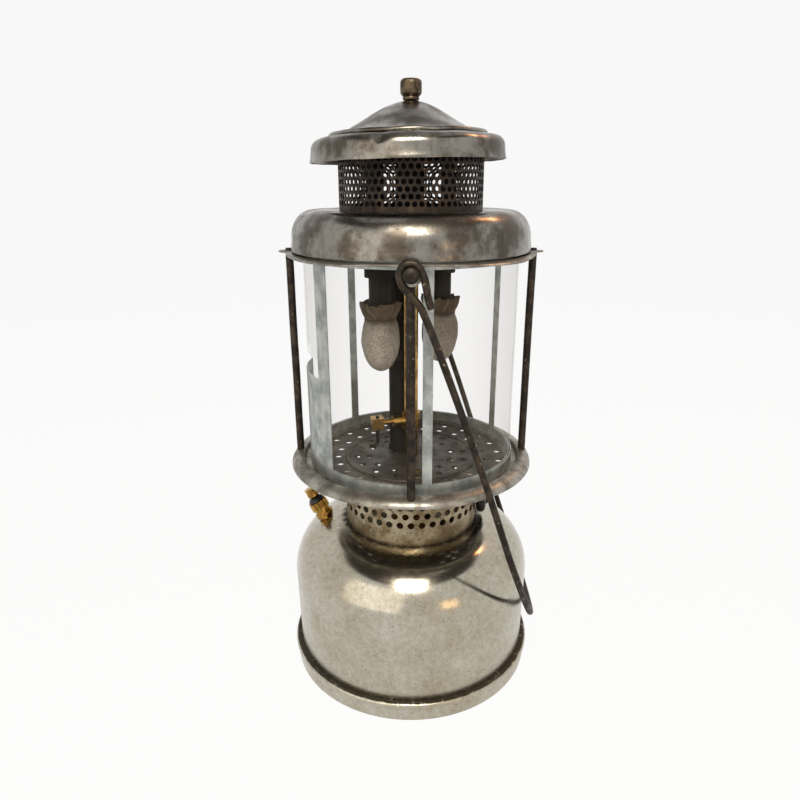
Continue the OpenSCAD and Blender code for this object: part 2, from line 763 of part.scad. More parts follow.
module top_ring() {
    low_z = top_z - top_t;
    color([0.36, 0.33, 0.29]) difference() {
        union() {
            translate([0, 0, low_z]) cylinder(r = top_out_r, h = top_t, $fn = 96);
            for (i = [0 : 3])
                rotate([0, 0, i * 90]) translate([post_circle_r, 0, low_z])
                    cylinder(r = lobe_r, h = top_t);
            for (side = [-1, 1]) on_side(side) {
                translate([-ear_r, top_in_r, low_z]) cube([2 * ear_r, ear_out_y - top_in_r, top_t]);
                translate([-ear_r, ear_in_y, pivot_z]) cube([2 * ear_r, top_t, top_z - pivot_z]);
                translate([0, ear_out_y, pivot_z]) rotate([90, 0, 0]) cylinder(r = ear_r, h = top_t);
            }
        }
        translate([0, 0, low_z - 1]) cylinder(r = top_in_r, h = top_t + 2, $fn = 96);
        for (i = [0 : 3])
            rotate([0, 0, i * 90]) translate([post_circle_r, 0, low_z - 1])
                cylinder(r = post_r + fix_play, h = top_t + 2);
        for (side = [-1, 1]) on_side(side) translate([0, ear_out_y + 1, pivot_z])
            rotate([90, 0, 0]) cylinder(r = rivet_r + fix_play, h = top_t + 2);
        // The lobes end where the ears turn down
        for (side = [-1, 1]) on_side(side)
            translate([-ear_r - 5, ear_out_y, low_z - 1]) cube([2 * ear_r + 10, 10, top_t + 2]);
    }
}

// Front (-1) or back (1): what is drawn toward +Y is turned to that side
module on_side(side) {
    rotate([0, 0, side > 0 ? 0 : 180]) children();
}

module bail_rivets() {
    inner_head_t = 0.7;
    color([0.3, 0.27, 0.23])
        for (side = [-1, 1]) on_side(side) translate([0, 0, pivot_z]) rotate([-90, 0, 0]) union() {
            translate([0, 0, ear_in_y - fix_play - inner_head_t])
                cylinder(r = rivet_r + 1, h = inner_head_t);
            translate([0, 0, ear_in_y - fix_play - bit])
                cylinder(r = rivet_r, h = rivet_head_y - ear_in_y + 1);
            translate([0, 0, rivet_head_y])
                lathe(concat([[0, 0]], arc([0, 0], rivet_head_d / 2, rivet_head_h, 0, 90, 8)));
        }
}

// The wire lies in a plane that leans away from the fount: x along its legs, y across
module bail() {
    wire_r = bail_d / 2;
    color([0.31, 0.27, 0.22])
        translate([0, 0, pivot_z]) rotate([0, 90 - bail_tilt, 0]) rotate([180, 0, 0]) union() {
            for (side = [-1, 1]) scale([1, side, 1]) translate([0, eye_y, 0]) {
                rotate([90, 0, 0]) rotate_extrude($fn = 48)
                    translate([eye_r, 0]) circle(r = wire_r, $fn = 32);
                translate([eye_r, 0, 0]) rotate([0, 90, 0])
                    cylinder(r = wire_r, h = bail_leg_l - eye_r, $fn = 32);
            }
            translate([bail_leg_l, 0, 0]) rotate([0, 0, -90])
                rotate_extrude(angle = 180, $fn = 96) translate([eye_y, 0]) circle(r = wire_r, $fn = 32);
        }
}

// A channel ring that holds the mica's edge; floor is at the bottom
module channel(height) {
    color([0.55, 0.58, 0.59]) union() {
        tube(globe_r, mica_out_r + fix_play, 0, height);
        tube(mica_in_r - fix_play, channel_in_r, 0, height);
        tube(globe_r, channel_in_r, 0, globe_t);
    }
}

module globe_bottom_ring() {
    translate([0, 0, globe_low_z]) channel(globe_low_h);
}

module globe_top_ring() {
    translate([0, 0, globe_top_z]) rotate([180, 0, 0]) channel(globe_high_h);
}

module globe_strips() {
    color([0.55, 0.58, 0.59])
        for (i = [0 : strip_count - 1])
            sector(globe_r - globe_t, globe_r, strip_low_z, strip_top_z,
                strip_bearing[i] - strip_angle(i) / 2, strip_bearing[i] + strip_angle(i) / 2);
}

// One sheet between each two strips; the last is cut away at the lighting hole
module globe_mica() {
    seam = 0.3;
    panel_lap = 4;
    strip_lap = 10;
    color([0.86, 0.84, 0.78, 0.35])
        for (i = [0 : strip_count - 1])
            difference() {
                sector(mica_in_r, mica_out_r, mica_low_z, mica_top_z, strip_bearing[i] + seam,
                    (i == panel_strip ? strip_bearing[0] + 360 : strip_bearing[i + 1]) - seam);
                if (i == panel_strip - 1)
                    sector(mica_in_r - 2, mica_out_r + 2, mica_low_z - 1, panel_top_z + light_hole_h,
                        panel_end - panel_span + panel_lap, panel_end + strip_lap);
            }
}

module globe_panel() {
    color([0.5, 0.53, 0.54])
        sector(globe_r - globe_t, globe_r, strip_low_z, panel_top_z,
            panel_end - panel_span, panel_end - 0.1);
}

module generator() {
    color("peru") difference() {
        tube(generator_r, generator_bore_r, generator_low_z, generator_top_z);
        at_cleaner() rotate([0, 90, 0]) cylinder(r = cleaner_stem_r + run_play, h = 2 * generator_r);
    }
}

module generator_nut() {
    color("goldenrod") difference() {
        hexagon(generator_r + 3, valve_top_z + fix_play, generator_nut_top_z);
        translate([0, 0, valve_top_z - 1]) cylinder(r = generator_r + fix_play, h = 20);
    }
}

module gas_jet() {
    low_z = generator_top_z - jet_spigot_l;
    color("goldenrod") difference() {
        union() {
            translate([0, 0, low_z]) cylinder(r = generator_bore_r - fix_play, h = jet_spigot_l + 1);
            translate([0, 0, generator_top_z + fix_play]) cylinder(r = generator_r, h = jet_h);
        }
        translate([0, 0, low_z - 1]) cylinder(r = needle_r + 0.5, h = jet_spigot_l + 3);
        translate([0, 0, low_z]) cylinder(r = orifice_r, h = 20, $fn = 32);
    }
}

module cleaner_block() {
    color("goldenrod") difference() {
        union() {
            translate([0, 0, cleaner_z - block_h / 2]) cylinder(r = block_r, h = block_h);
            at_cleaner() rotate([0, 90, 0]) cylinder(r = cleaner_stem_r + 1.6, h = block_r + 6);
        }
        translate([0, 0, cleaner_z - block_h]) cylinder(r = generator_r + fix_play, h = 2 * block_h);
        at_cleaner() rotate([0, 90, 0]) cylinder(r = cleaner_stem_r + run_play, h = block_r + 10);
    }
}

module cleaner_stem() {
    half = cleaner_head_w / 2;
    color("darkgoldenrod") at_cleaner() difference() {
        union() {
            translate([needle_r + 0.5, 0, 0]) rotate([0, 90, 0])
                cylinder(r = cleaner_stem_r, h = cleaner_reach - needle_r);
            translate([cleaner_reach, -half, -half]) cube(cleaner_head_w);
        }
        translate([cleaner_reach + half, 0, -half - 1])
            cylinder(d = lever_d + 2 * fix_play, h = cleaner_head_w + 2);
    }
}

// A wire through the square head, bent outward at its foot
module cleaner_lever() {
    bend_r = lever_d * 1.5;
    half = cleaner_head_w / 2;
    end_out = 0.8;
    toe_l = 2;
    color([0.15, 0.13, 0.12]) at_cleaner() translate([cleaner_reach + half, 0, 0]) union() {
        translate([0, 0, bend_r - lever_l])
            cylinder(d = lever_d, h = lever_l - bend_r + half + end_out, $fn = 32);
        translate([bend_r, 0, bend_r - lever_l]) rotate([-90, 0, 0]) rotate([0, 0, 90])
            rotate_extrude(angle = 90, $fn = 48) translate([bend_r, 0]) circle(d = lever_d, $fn = 32);
        translate([bend_r, 0, -lever_l]) rotate([0, 90, 0]) cylinder(d = lever_d, h = toe_l, $fn = 32);
    }
}

module cleaning_needle() {
    tip_z = generator_top_z - 1;
    color("silver") union() {
        translate([0, 0, cleaner_z - 4]) cylinder(r = needle_r, h = tip_z - cleaner_z + 4, $fn = 32);
        translate([0, 0, tip_z - bit]) cylinder(r = needle_tip_r, h = 4, $fn = 32);
    }
}

// Upright stretch, then the socket end in the manifold; a foot ring sits on the plate
module air_tube() {
    color([0.13, 0.12, 0.12]) at_air_tube() difference() {
        union() {
            translate([0, 0, plate_low_z]) cylinder(r = air_tube_r, h = air_top_z - plate_low_z);
            translate([0, 0, plate_z + fix_play]) cylinder(r = air_tube_r + 0.7, h = 2);
        }
        translate([0, 0, plate_low_z - 1])
            cylinder(r = air_tube_r - air_tube_t, h = air_top_z - plate_low_z + 2);
    }
}

module manifold() {
    hub_w = 4.5;
    hub_r = generator_r + hub_w;
    bore = arm_r - 3;
    socket_t = 1.4;
    color([0.14, 0.13, 0.13]) difference() {
        union() {
            rotate([0, 0, burner_turn]) along_x(arm_z)
                cylinder(r = arm_r, h = 2 * mantle_circle_r, center = true);
            for (side = [-1, 1]) at_mantle(side) {
                translate([0, 0, socket_low_z]) cylinder(r = arm_r + 0.6, h = socket_l);
                translate([0, 0, arm_z]) sphere(r = arm_r + 0.6);
            }
            translate([0, 0, socket_low_z]) cylinder(r = hub_r, h = socket_l + arm_r + 1);
            rotate([0, 0, burner_turn + 90]) along_x(arm_z - 1) cylinder(r = arm_r - 0.5, h = air_tube_off);
            at_air_tube() {
                translate([0, 0, air_socket_low_z])
                    cylinder(r = air_tube_r + socket_t, h = arm_z - air_socket_low_z);
                translate([0, 0, arm_z]) sphere(r = air_tube_r + socket_t);
            }
        }
        rotate([0, 0, burner_turn]) along_x(arm_z)
            cylinder(r = bore, h = 2 * mantle_circle_r, center = true);
        rotate([0, 0, burner_turn + 90]) along_x(arm_z - 1) cylinder(r = bore - 0.3, h = air_tube_off);
        translate([0, 0, air_socket_low_z])
            cylinder(r = generator_r + rest_gap, h = arm_z - air_socket_low_z);
        for (side = [-1, 1]) at_mantle(side) {
            translate([0, 0, socket_low_z - 1])
                cylinder(r = burner_tube_r + fix_play, h = burner_top_z - socket_low_z + 1 + fix_play);
            translate([0, 0, socket_low_z]) cylinder(r = bore - 0.4, h = socket_l);
        }
        at_air_tube() {
            translate([0, 0, air_socket_low_z - 1])
                cylinder(r = air_tube_r + fix_play, h = air_top_z - air_socket_low_z + 1 + fix_play);
            translate([0, 0, air_socket_low_z]) cylinder(r = bore - 0.6, h = arm_z - air_socket_low_z);
        }
        translate([0, 0, arm_z + bore + 0.5]) cylinder(r = stud_r + fix_play, h = 20);
    }
}

module burner_tube(side) {
    color([0.15, 0.14, 0.13]) at_mantle(side)
        tube(burner_tube_r, burner_tube_r - burner_tube_t, burner_low_z, burner_top_z);
}

module burner_tube_left() { burner_tube(-1); }
module burner_tube_right() { burner_tube(1); }

// Thimble on the tube's end, with a rim that keeps the mantle's tie from slipping off
module burner_screen(side) {
    rim_t = 1;
    color([0.24, 0.2, 0.17]) at_mantle(side) difference() {
        translate([0, 0, screen_low_z]) cylinder(r = screen_r, h = screen_l);
        translate([0, 0, burner_low_z - fix_play]) cylinder(r = screen_in_r, h = screen_l + 2);
        translate([0, 0, screen_low_z - 1]) cylinder(r = burner_tube_r - burner_tube_t, h = screen_l);
        translate([0, 0, tie_z - rim_t / 2]) difference() {
            cylinder(r = screen_r + 1, h = rim_t);
            cylinder(r = screen_r - 0.3, h = rim_t);
        }
    }
}

module burner_screen_left() { burner_screen(-1); }
module burner_screen_right() { burner_screen(1); }

// Knitted bag: a bulb below the tie and a gathered ruffle above it
mantle_sides = 36;
bulb_rings = 9;
ruffle_rings = 4;
bulb_end = 180 - asin(tie_r / mantle_r);
bulb_b = mantle_h / (1 - cos(bulb_end));
bulb_z = tie_z - mantle_h + bulb_b;
bulb_start = 12;

// Radius, height and depth of the gathers along the bag, from its foot to its edge
function bag_station(i) = i <= bulb_rings
    ? let (a = bulb_start + (bulb_end - bulb_start) * i / bulb_rings)
        [mantle_r * sin(a), bulb_z - bulb_b * cos(a), 0.25 * pow(i / bulb_rings, 3)]
    : let (s = (i - bulb_rings) / ruffle_rings)
        [tie_r + (ruffle_r - tie_r) * s, tie_z + ruffle_h * s, 0.25 + 0.75 * s];
function bag_ring(i, inset, lift) = [
    for (k = [0 : mantle_sides - 1])
        let (
            a = k * 360 / mantle_sides,
            p = bag_station(i),
            r = p[0] - inset + p[2] * (1 + cos(ruffle_n * a)) / 2
        )
            [r * cos(a), r * sin(a), p[1] + lift]
];
function quad(a, b, c, d) = [[a, b, c], [a, c, d]];

module mantle(side) {
    rings = bulb_rings + ruffle_rings;
    n = mantle_sides;
    outside = [for (i = [0 : rings]) each bag_ring(i, 0, 0)];
    inside = [for (i = [0 : rings]) each bag_ring(i, cloth_t, i == 0 ? cloth_t : 0)];
    half = len(outside);
    foot = bulb_z - bulb_b;
    points = concat(outside, inside, [[0, 0, foot], [0, 0, foot + cloth_t]]);
    faces = [
        for (i = [0 : rings - 1], k = [0 : n - 1])
            let (m = (k + 1) % n)
                each concat(
                    quad(i * n + k, (i + 1) * n + k, (i + 1) * n + m, i * n + m),
                    quad(half + i * n + k, half + i * n + m, half + (i + 1) * n + m, half + (i + 1) * n + k)
                ),
        for (k = [0 : n - 1])
            let (m = (k + 1) % n)
                each concat(
                    quad(rings * n + k, half + rings * n + k, half + rings * n + m, rings * n + m),
                    [[2 * half, k, m], [2 * half + 1, half + m, half + k]]
                )
    ];
    color([0.72, 0.69, 0.64]) at_mantle(side) polyhedron(points, faces);
}

module mantle_left() { mantle(-1); }
module mantle_right() { mantle(1); }

module stud() {
    color("dimgray") translate([0, 0, arm_z + arm_r - 2])
        cylinder(r = stud_r, h = stud_top_z - arm_z - arm_r + 2);
}

module stud_nut() {
    color("dimgray") difference() {
        hexagon(stud_r + 2.6, stud_nut_top_z - stud_nut_h, stud_nut_top_z);
        translate([0, 0, stud_nut_top_z - stud_nut_h - 1])
            cylinder(r = stud_r + fix_play, h = stud_nut_h + 2);
    }
}

module vent_shell() {
    corner = [shell_r - shell_run, shell_rim_z + shell_side_h];
    path = concat(
        [[shell_r, shell_rim_z]],
        arc(corner, shell_run - 0.4, shell_rise, 0, 90, 10),
        [[shell_hole_r, shell_top_z]]
    );
    color([0.42, 0.4, 0.37]) pressed(path, vent_t);
}

module vent_gallery() {
    color([0.2, 0.17, 0.14]) difference() {
        tube(gallery_r, gallery_r - vent_t, gallery_low_z, gallery_top_z);
        wall_holes(gallery_r, vent_t, gallery_hole_d, gallery_hole_n, gallery_rows,
            gallery_low_z + gallery_row_z, gallery_row_pitch);
    }
}

// Three straps bent down into six legs; the middle sits on the stud nut
module vent_spider() {
    foot_z = gallery_low_z + spider_t;
    path = [
        [spider_foot_r - 2, foot_z], [spider_r, foot_z], [spider_r, spider_top_z],
        [-spider_r, spider_top_z], [-spider_r, foot_z], [2 - spider_foot_r, foot_z]
    ];
    color([0.17, 0.15, 0.14]) difference() {
        for (turn = [-5, 55, 115])
            rotate([0, 0, turn - 90]) rotate([90, 0, 0])
                linear_extrude(spider_w, center = true) polygon(sheet_outline(path, spider_t));
        translate([0, 0, spider_top_z - 5]) cylinder(r = stud_r + rest_gap, h = 10);
    }
}

module vent_cap() {
    side_top = cap_rim_z + cap_side_h;
    bell_r = gallery_r + 0.3;
    bell_foot_z = cap_deck_z + cap_bead;
    steps = 12;
    // The bell is a stretch of a cosine wave, steepest halfway up
    bell = [
        for (i = [0 : steps - 2])
            let (share = 1 - i / steps)
                [bell_r * share, bell_top_z - (bell_top_z - bell_foot_z)
                    * (1 - cos(bell_sweep * share)) / (1 - cos(bell_sweep))]
    ];
    path = concat(
        [[cap_r, cap_rim_z]],
        arc([cap_deck_r, side_top], cap_r - cap_deck_r - 0.9, cap_deck_z - side_top, 0, 90, 8),
        [[bell_r + 2 * cap_bead, cap_deck_z]],
        arc([bell_r + cap_bead, cap_deck_z + cap_bead], cap_bead, cap_bead, -20, 70, 4),
        bell,
        [[ball_neck_r, bell_top_z], [stud_r + rest_gap, bell_top_z]]
    );
    color([0.4, 0.38, 0.35]) pressed(path, vent_t);
}

module ball_nut() {
    low_z = bell_top_z + rest_gap;
    edge = 1.6;
    outline = concat(
        [[stud_r + run_play, low_z], [ball_neck_r, low_z]],
        [[ball_neck_r, low_z + 1], [ball_r, low_z + 2.6]],
        arc([ball_r - edge, low_z + ball_h - edge], edge, edge, 0, 90, 5),
        [[0, low_z + ball_h], [0, stud_top_z + rest_gap], [stud_r + run_play, stud_top_z + rest_gap]]
    );
    color([0.2, 0.18, 0.15]) lathe(outline);
}

fount();
fount_bottom();
fount_boss();
filler_neck();
filler_gasket();
filler_plug();
filler_cap();
air_screw();
valve_body();
pickup_tube();
packing_nut();
valve_stem();
valve_wheel();
wheel_screw();
collar();
collar_base();
burner_plate();
base_ring();
post_front();
post_right();
post_back();
post_left();
top_ring();
bail_rivets();
bail();
globe_bottom_ring();
globe_top_ring();
globe_strips();
globe_mica();
globe_panel();
generator();
generator_nut();
gas_jet();
cleaner_block();
cleaner_stem();
cleaner_lever();
cleaning_needle();
air_tube();
manifold();
burner_tube_left();
burner_tube_right();
burner_screen_left();
burner_screen_right();
mantle_left();
mantle_right();
stud();
stud_nut();
vent_shell();
vent_gallery();
vent_spider();
vent_cap();
ball_nut();
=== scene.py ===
import bpy
import bmesh
from math import asin, cos, degrees, exp, pi, radians, sin, sqrt
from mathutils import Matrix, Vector, noise


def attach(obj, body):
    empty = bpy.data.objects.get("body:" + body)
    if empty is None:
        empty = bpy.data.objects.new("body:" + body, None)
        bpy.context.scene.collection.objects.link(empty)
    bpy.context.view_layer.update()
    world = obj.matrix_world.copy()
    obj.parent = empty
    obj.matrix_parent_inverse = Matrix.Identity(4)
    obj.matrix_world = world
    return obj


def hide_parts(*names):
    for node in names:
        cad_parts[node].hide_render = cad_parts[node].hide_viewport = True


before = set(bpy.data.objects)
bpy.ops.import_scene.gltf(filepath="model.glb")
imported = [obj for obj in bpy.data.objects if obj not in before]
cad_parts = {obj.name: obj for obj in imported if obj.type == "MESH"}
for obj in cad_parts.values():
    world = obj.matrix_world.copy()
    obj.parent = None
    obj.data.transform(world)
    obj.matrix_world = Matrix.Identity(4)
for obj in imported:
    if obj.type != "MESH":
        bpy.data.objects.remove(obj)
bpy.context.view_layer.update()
scene = bpy.context.scene
scene.view_settings.view_transform = "Standard"
mm = 0.001
print("frame loaded:", len(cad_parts), "nodes")


def linearColour(code):
    channels = [int(code[i:i + 2], 16) / 255 for i in (1, 3, 5)]
    return tuple(c / 12.92 if c <= 0.04045 else ((c + 0.055) / 1.055) ** 2.4 for c in channels) + (1.0,)


# An input given a node or a socket is linked, a colour code is made linear, anything else is typed in
def fillInputs(tree, node, inputs):
    for key, value in inputs.items():
        source = value.outputs[0] if isinstance(value, bpy.types.Node) else value
        if isinstance(source, bpy.types.NodeSocket):
            tree.links.new(source, node.inputs[key])
        else:
            node.inputs[key].default_value = linearColour(value) if isinstance(value, str) else value


mathKind, rangeKind = "ShaderNodeMath", "ShaderNodeMapRange"
mixKind, noiseKind = "ShaderNodeMix", "ShaderNodeTexNoise"


def addNode(tree, kind, inputs=None, **settings):
    node = tree.nodes.new(kind)
    for name, value in settings.items():
        setattr(node, name, value)
    fillInputs(tree, node, inputs or {})
    return node


def newMaterial(name):
    material = bpy.data.materials.new(name)
    material.use_nodes = True
    tree = material.node_tree
    place = addNode(tree, "ShaderNodeTexCoord").outputs["Object"]
    return material, tree, tree.nodes["Principled BSDF"], place


# Camera at the photo's height and distance
cameraSizes = {"place": (0, -0.35374, 0.28171), "tilt": 71.012, "lens": 28.887, "sensor": 36,
    "shift": (-0.01375, 0.00806)}
camera = bpy.data.cameras.new("camera")
camera.lens = cameraSizes["lens"]
camera.sensor_width = cameraSizes["sensor"]
camera.shift_x, camera.shift_y = cameraSizes["shift"]
cameraObject = bpy.data.objects.new("camera", camera)
cameraObject.location = cameraSizes["place"]
cameraObject.rotation_euler = (radians(cameraSizes["tilt"]), 0, 0)
scene.collection.objects.link(cameraObject)
scene.camera = cameraObject


# Metal finishes: patches of two tones, specks of dirt, drawn-out streaks, and dents too shallow to model
wearLook = {"specular": 0.5, "patchFrom": 0.35, "patchTo": 0.65, "streakFrom": 0.5, "streakTo": 0.78,
    "streakAmount": 0.5, "streakTall": 1, "speckFade": 0.09, "speckAmount": 0.5, "speckRough": 0.3,
    "reliefMm": 0.4}


def agedMetal(name, look):
    look = {**wearLook, **look}
    material, tree, shader, place = newMaterial(name)
    patches = addNode(tree, noiseKind, {"Vector": place, "Scale": 1 / (look["patchMm"] * mm), "Detail": 5.0,
        "Roughness": 0.62})
    patchShare = addNode(tree, rangeKind, {0: patches, 1: look["patchFrom"], 2: look["patchTo"]},
        interpolation_type="SMOOTHSTEP")
    tone = addNode(tree, mixKind, {0: patchShare, 6: look["bare"], 7: look["dull"]},
        data_type="RGBA").outputs[2]
    stretch = addNode(tree, "ShaderNodeMapping", {"Scale": (1, 1, look["streakTall"]), "Vector": place})
    streaks = addNode(tree, noiseKind, {"Vector": stretch, "Scale": 1 / (look["streakMm"] * mm),
        "Detail": 3.0})
    streakShare = addNode(tree, rangeKind, {0: streaks, 1: look["streakFrom"], 2: look["streakTo"],
        4: look["streakAmount"]})
    streaked = addNode(tree, mixKind, {0: streakShare, 6: tone, 7: look["streak"]},
        data_type="RGBA").outputs[2]
    specks = addNode(tree, noiseKind, {"Vector": place, "Scale": 1 / (look["speckMm"] * mm), "Detail": 2.0,
        "Roughness": 0.7})
    speckShare = addNode(tree, rangeKind, {0: specks, 1: look["speckFrom"],
        2: look["speckFrom"] + look["speckFade"], 4: look["speckAmount"]})
    shade = addNode(tree, mixKind, {0: speckShare, 6: streaked, 7: look["speck"]},
        data_type="RGBA").outputs[2]
    even = addNode(tree, rangeKind, {0: patchShare, 3: look["rough"][0], 4: look["rough"][1]})
    rough = addNode(tree, mathKind, {0: speckShare, 1: look["speckRough"], 2: even},
        operation="MULTIPLY_ADD")
    dents = addNode(tree, noiseKind, {"Vector": place, "Scale": 1 / (look["dentMm"] * mm), "Detail": 2.0})
    relief = addNode(tree, mathKind, {0: speckShare, 1: -look["pit"], 2: dents}, operation="MULTIPLY_ADD")
    bump = addNode(tree, "ShaderNodeBump", {"Strength": look["bump"], "Distance": look["reliefMm"] * mm,
        "Height": relief})
    fillInputs(tree, shader, {"Metallic": look["metallic"], "Specular IOR Level": look["specular"],
        "Base Color": shade, "Roughness": rough, "Normal": bump})
    return material


# Nickel plate on spun brass: a soft mirror on the shoulder, mottled on the wall, pinholes all over,
# painted shade round the collar foot and in the seam above the foot
plateLook = {"bare": "#bfbaad", "dull": "#a0967f", "pin": "#3d3427", "paintedShade": "#2e271d",
    "mottleMm": 3.2, "mottleShare": 1.2, "cloudMm": 26, "dullFrom": 0.75, "dullTo": 1.5,
    "pinMm": 0.9, "pinFrom": 0.62, "pinTo": 0.7, "pinAmount": 0.85, "wallFrom": 66, "wallTo": 57,
    "collarFrom": 44.5, "collarTo": 40.0, "collarAmount": 0.85, "seam": (12.9, 12.2, 11.9, 11.3),
    "paintedShadeFrom": 0.12, "paintedShadeTo": 0.42, "paintedShadeAmount": 0.9,
    "domeRough": 0.12, "wallRough": 0.24, "dullRough": 0.1, "paintedShadeRough": 0.4,
    "mottleDepth": 0.35, "bump": 0.1, "reliefMm": 0.4}


def fountPlate(look):
    material, tree, shader, place = newMaterial("nickelPlatedBrass")
    axes = addNode(tree, "ShaderNodeSeparateXYZ", {0: place}).outputs
    across = addNode(tree, "ShaderNodeCombineXYZ", {0: axes[0], 1: axes[1]})
    reach = addNode(tree, "ShaderNodeVectorMath", {0: across}, operation="LENGTH")
    wall = addNode(tree, rangeKind, {0: axes[2], 1: look["wallFrom"] * mm, 2: look["wallTo"] * mm})
    mottle = addNode(tree, noiseKind, {"Vector": place, "Scale": 1 / (look["mottleMm"] * mm), "Detail": 4.0,
        "Roughness": 0.65})
    clouds = addNode(tree, noiseKind, {"Vector": place, "Scale": 1 / (look["cloudMm"] * mm), "Detail": 3.0})
    blend = addNode(tree, mathKind, {0: mottle, 1: look["mottleShare"], 2: clouds},
        operation="MULTIPLY_ADD")
    dulled = addNode(tree, rangeKind, {0: blend, 1: look["dullFrom"], 2: look["dullTo"]})
    tone = addNode(tree, mixKind, {0: dulled, 6: look["bare"], 7: look["dull"]},
        data_type="RGBA").outputs[2]
    pins = addNode(tree, noiseKind, {"Vector": place, "Scale": 1 / (look["pinMm"] * mm), "Detail": 2.0,
        "Roughness": 0.7})
    pinShare = addNode(tree, rangeKind, {0: pins, 1: look["pinFrom"], 2: look["pinTo"],
        4: look["pinAmount"]})
    pinned = addNode(tree, mixKind, {0: pinShare, 6: tone, 7: look["pin"]}, data_type="RGBA").outputs[2]
    # Painted shade: a dark band round the collar foot and another in the seam above the foot, patchy with the
    # mottle and rougher there
    collar = addNode(tree, rangeKind, {0: reach.outputs["Value"], 1: look["collarFrom"] * mm,
        2: look["collarTo"] * mm, 4: look["collarAmount"]})
    seamTop, seamHigh, seamLow, seamFoot = [z * mm for z in look["seam"]]
    above = addNode(tree, rangeKind, {0: axes[2], 1: seamTop, 2: seamHigh})
    below = addNode(tree, rangeKind, {0: axes[2], 1: seamFoot, 2: seamLow})
    seam = addNode(tree, mathKind, {0: above, 1: below}, operation="MULTIPLY")
    corners = addNode(tree, mathKind, {0: collar, 1: seam}, operation="MAXIMUM")
    patchy = addNode(tree, mathKind, {0: corners, 1: mottle}, operation="MULTIPLY")
    paintedShade = addNode(tree, rangeKind, {0: patchy, 1: look["paintedShadeFrom"], 2: look["paintedShadeTo"],
        4: look["paintedShadeAmount"]})
    # The painted shade at the collar foot and in the seam is mixed into the colour here
    shade = addNode(tree, mixKind, {0: paintedShade, 6: pinned, 7: look["paintedShade"]}, data_type="RGBA").outputs[2]
    even = addNode(tree, rangeKind, {0: wall, 3: look["domeRough"], 4: look["wallRough"]})
    dullRough = addNode(tree, mathKind, {0: dulled, 1: look["dullRough"], 2: even},
        operation="MULTIPLY_ADD")
    rough = addNode(tree, mathKind, {0: paintedShade, 1: look["paintedShadeRough"], 2: dullRough}, operation="MULTIPLY_ADD")
    hollows = addNode(tree, mathKind, {0: mottle, 1: wall}, operation="MULTIPLY")
    relief = addNode(tree, mathKind, {0: hollows, 1: look["mottleDepth"], 2: clouds},
        operation="MULTIPLY_ADD")
    bump = addNode(tree, "ShaderNodeBump", {"Strength": look["bump"], "Distance": look["reliefMm"] * mm,
        "Height": relief})
    fillInputs(tree, shader, {"Metallic": 1.0, "Base Color": shade, "Roughness": rough, "Normal": bump})
    return material


fountNickel = fountPlate(plateLook)
# The same plate dulled by heat: smoky grey with brown clouds and rubbed upright scratches
smokyNickel = agedMetal("heatDulledNickel", {
    "metallic": 1.0, "bare": "#8b877f", "dull": "#575047", "patchMm": 16, "patchFrom": 0.4, "patchTo": 0.62,
    "streak": "#4a4136", "streakMm": 5, "streakTall": 0.25, "streakAmount": 0.55,
    "speck": "#2f2821", "speckMm": 2.2, "speckFrom": 0.64, "speckAmount": 0.6,
    "rough": (0.22, 0.36), "dentMm": 14, "pit": 0.25, "bump": 0.22})
# Perforated steel above the flame: brown-black scale with no shine left
scaledSteel = agedMetal("heatScaledSteel", {
    "metallic": 0.6, "bare": "#3a2e24", "dull": "#1f1914", "patchMm": 9,
    "streak": "#6a5945", "streakMm": 3, "streakTall": 0.4, "streakAmount": 0.4,
    "speck": "#7a6a55", "speckMm": 1.1, "speckFrom": 0.66,
    "rough": (0.45, 0.62), "dentMm": 4, "pit": 0.1, "bump": 0.2})
# Pressed steel rings: plating gone grey, brown rust freckles
ringSteel = agedMetal("wornPlatedSteel", {
    "metallic": 0.9, "bare": "#a5a297", "dull": "#78736a", "patchMm": 11, "patchFrom": 0.36, "patchTo": 0.64,
    "streak": "#5a4f42", "streakMm": 4,
    "speck": "#3a2c1f", "speckMm": 1.3, "speckFrom": 0.61, "speckAmount": 0.75,
    "rough": (0.34, 0.5), "dentMm": 7, "pit": 0.25, "bump": 0.25})
# Drawn steel wire: dark rust with bright spots where hands rubbed it
rustyWire = agedMetal("rustedSteelWire", {
    "metallic": 0.6, "bare": "#43372a", "dull": "#1d1711", "patchMm": 6, "patchFrom": 0.33, "patchTo": 0.6,
    "streak": "#2c241d", "streakMm": 3, "streakTall": 0.3, "streakAmount": 0.6,
    "speck": "#b3a284", "speckMm": 2.0, "speckFrom": 0.66, "speckAmount": 0.7,
    "rough": (0.4, 0.58), "dentMm": 3, "pit": 0.15, "bump": 0.3})
# Tinned sheet: pale grey with cloudy spangle
tinnedSheet = agedMetal("tinnedSteelSheet", {
    "metallic": 0.6, "bare": "#b6bab6", "dull": "#8d9390", "patchMm": 8,
    "streak": "#5d6163", "streakMm": 4, "streakTall": 0.3,
    "speck": "#4a4640", "speckMm": 1.4, "speckFrom": 0.66, "speckAmount": 0.6,
    "rough": (0.3, 0.44), "dentMm": 6, "pit": 0.15, "bump": 0.15})
# Cast and drawn iron over the flame: soot black, with hardly any gloss
sootyIron = agedMetal("sootedIron", {
    "metallic": 0.0, "specular": 0.12, "bare": "#1f1b18", "dull": "#110f0d", "patchMm": 9,
    "streak": "#2c241c", "streakMm": 4, "streakTall": 0.4,
    "speck": "#4a3e30", "speckMm": 1.4, "speckFrom": 0.66,
    "rough": (0.5, 0.7), "dentMm": 3, "pit": 0.1, "bump": 0.25})
# Turned brass: golden with brown tarnish in the corners
turnedBrass = agedMetal("tarnishedBrass", {
    "metallic": 1.0, "bare": "#c9a055", "dull": "#8c6a33", "patchMm": 5, "patchFrom": 0.36, "patchTo": 0.66,
    "streak": "#4d3819", "streakMm": 3,
    "speck": "#33240f", "speckMm": 0.9, "speckFrom": 0.64, "speckAmount": 0.7,
    "rough": (0.22, 0.4), "dentMm": 3, "pit": 0.15, "bump": 0.15})
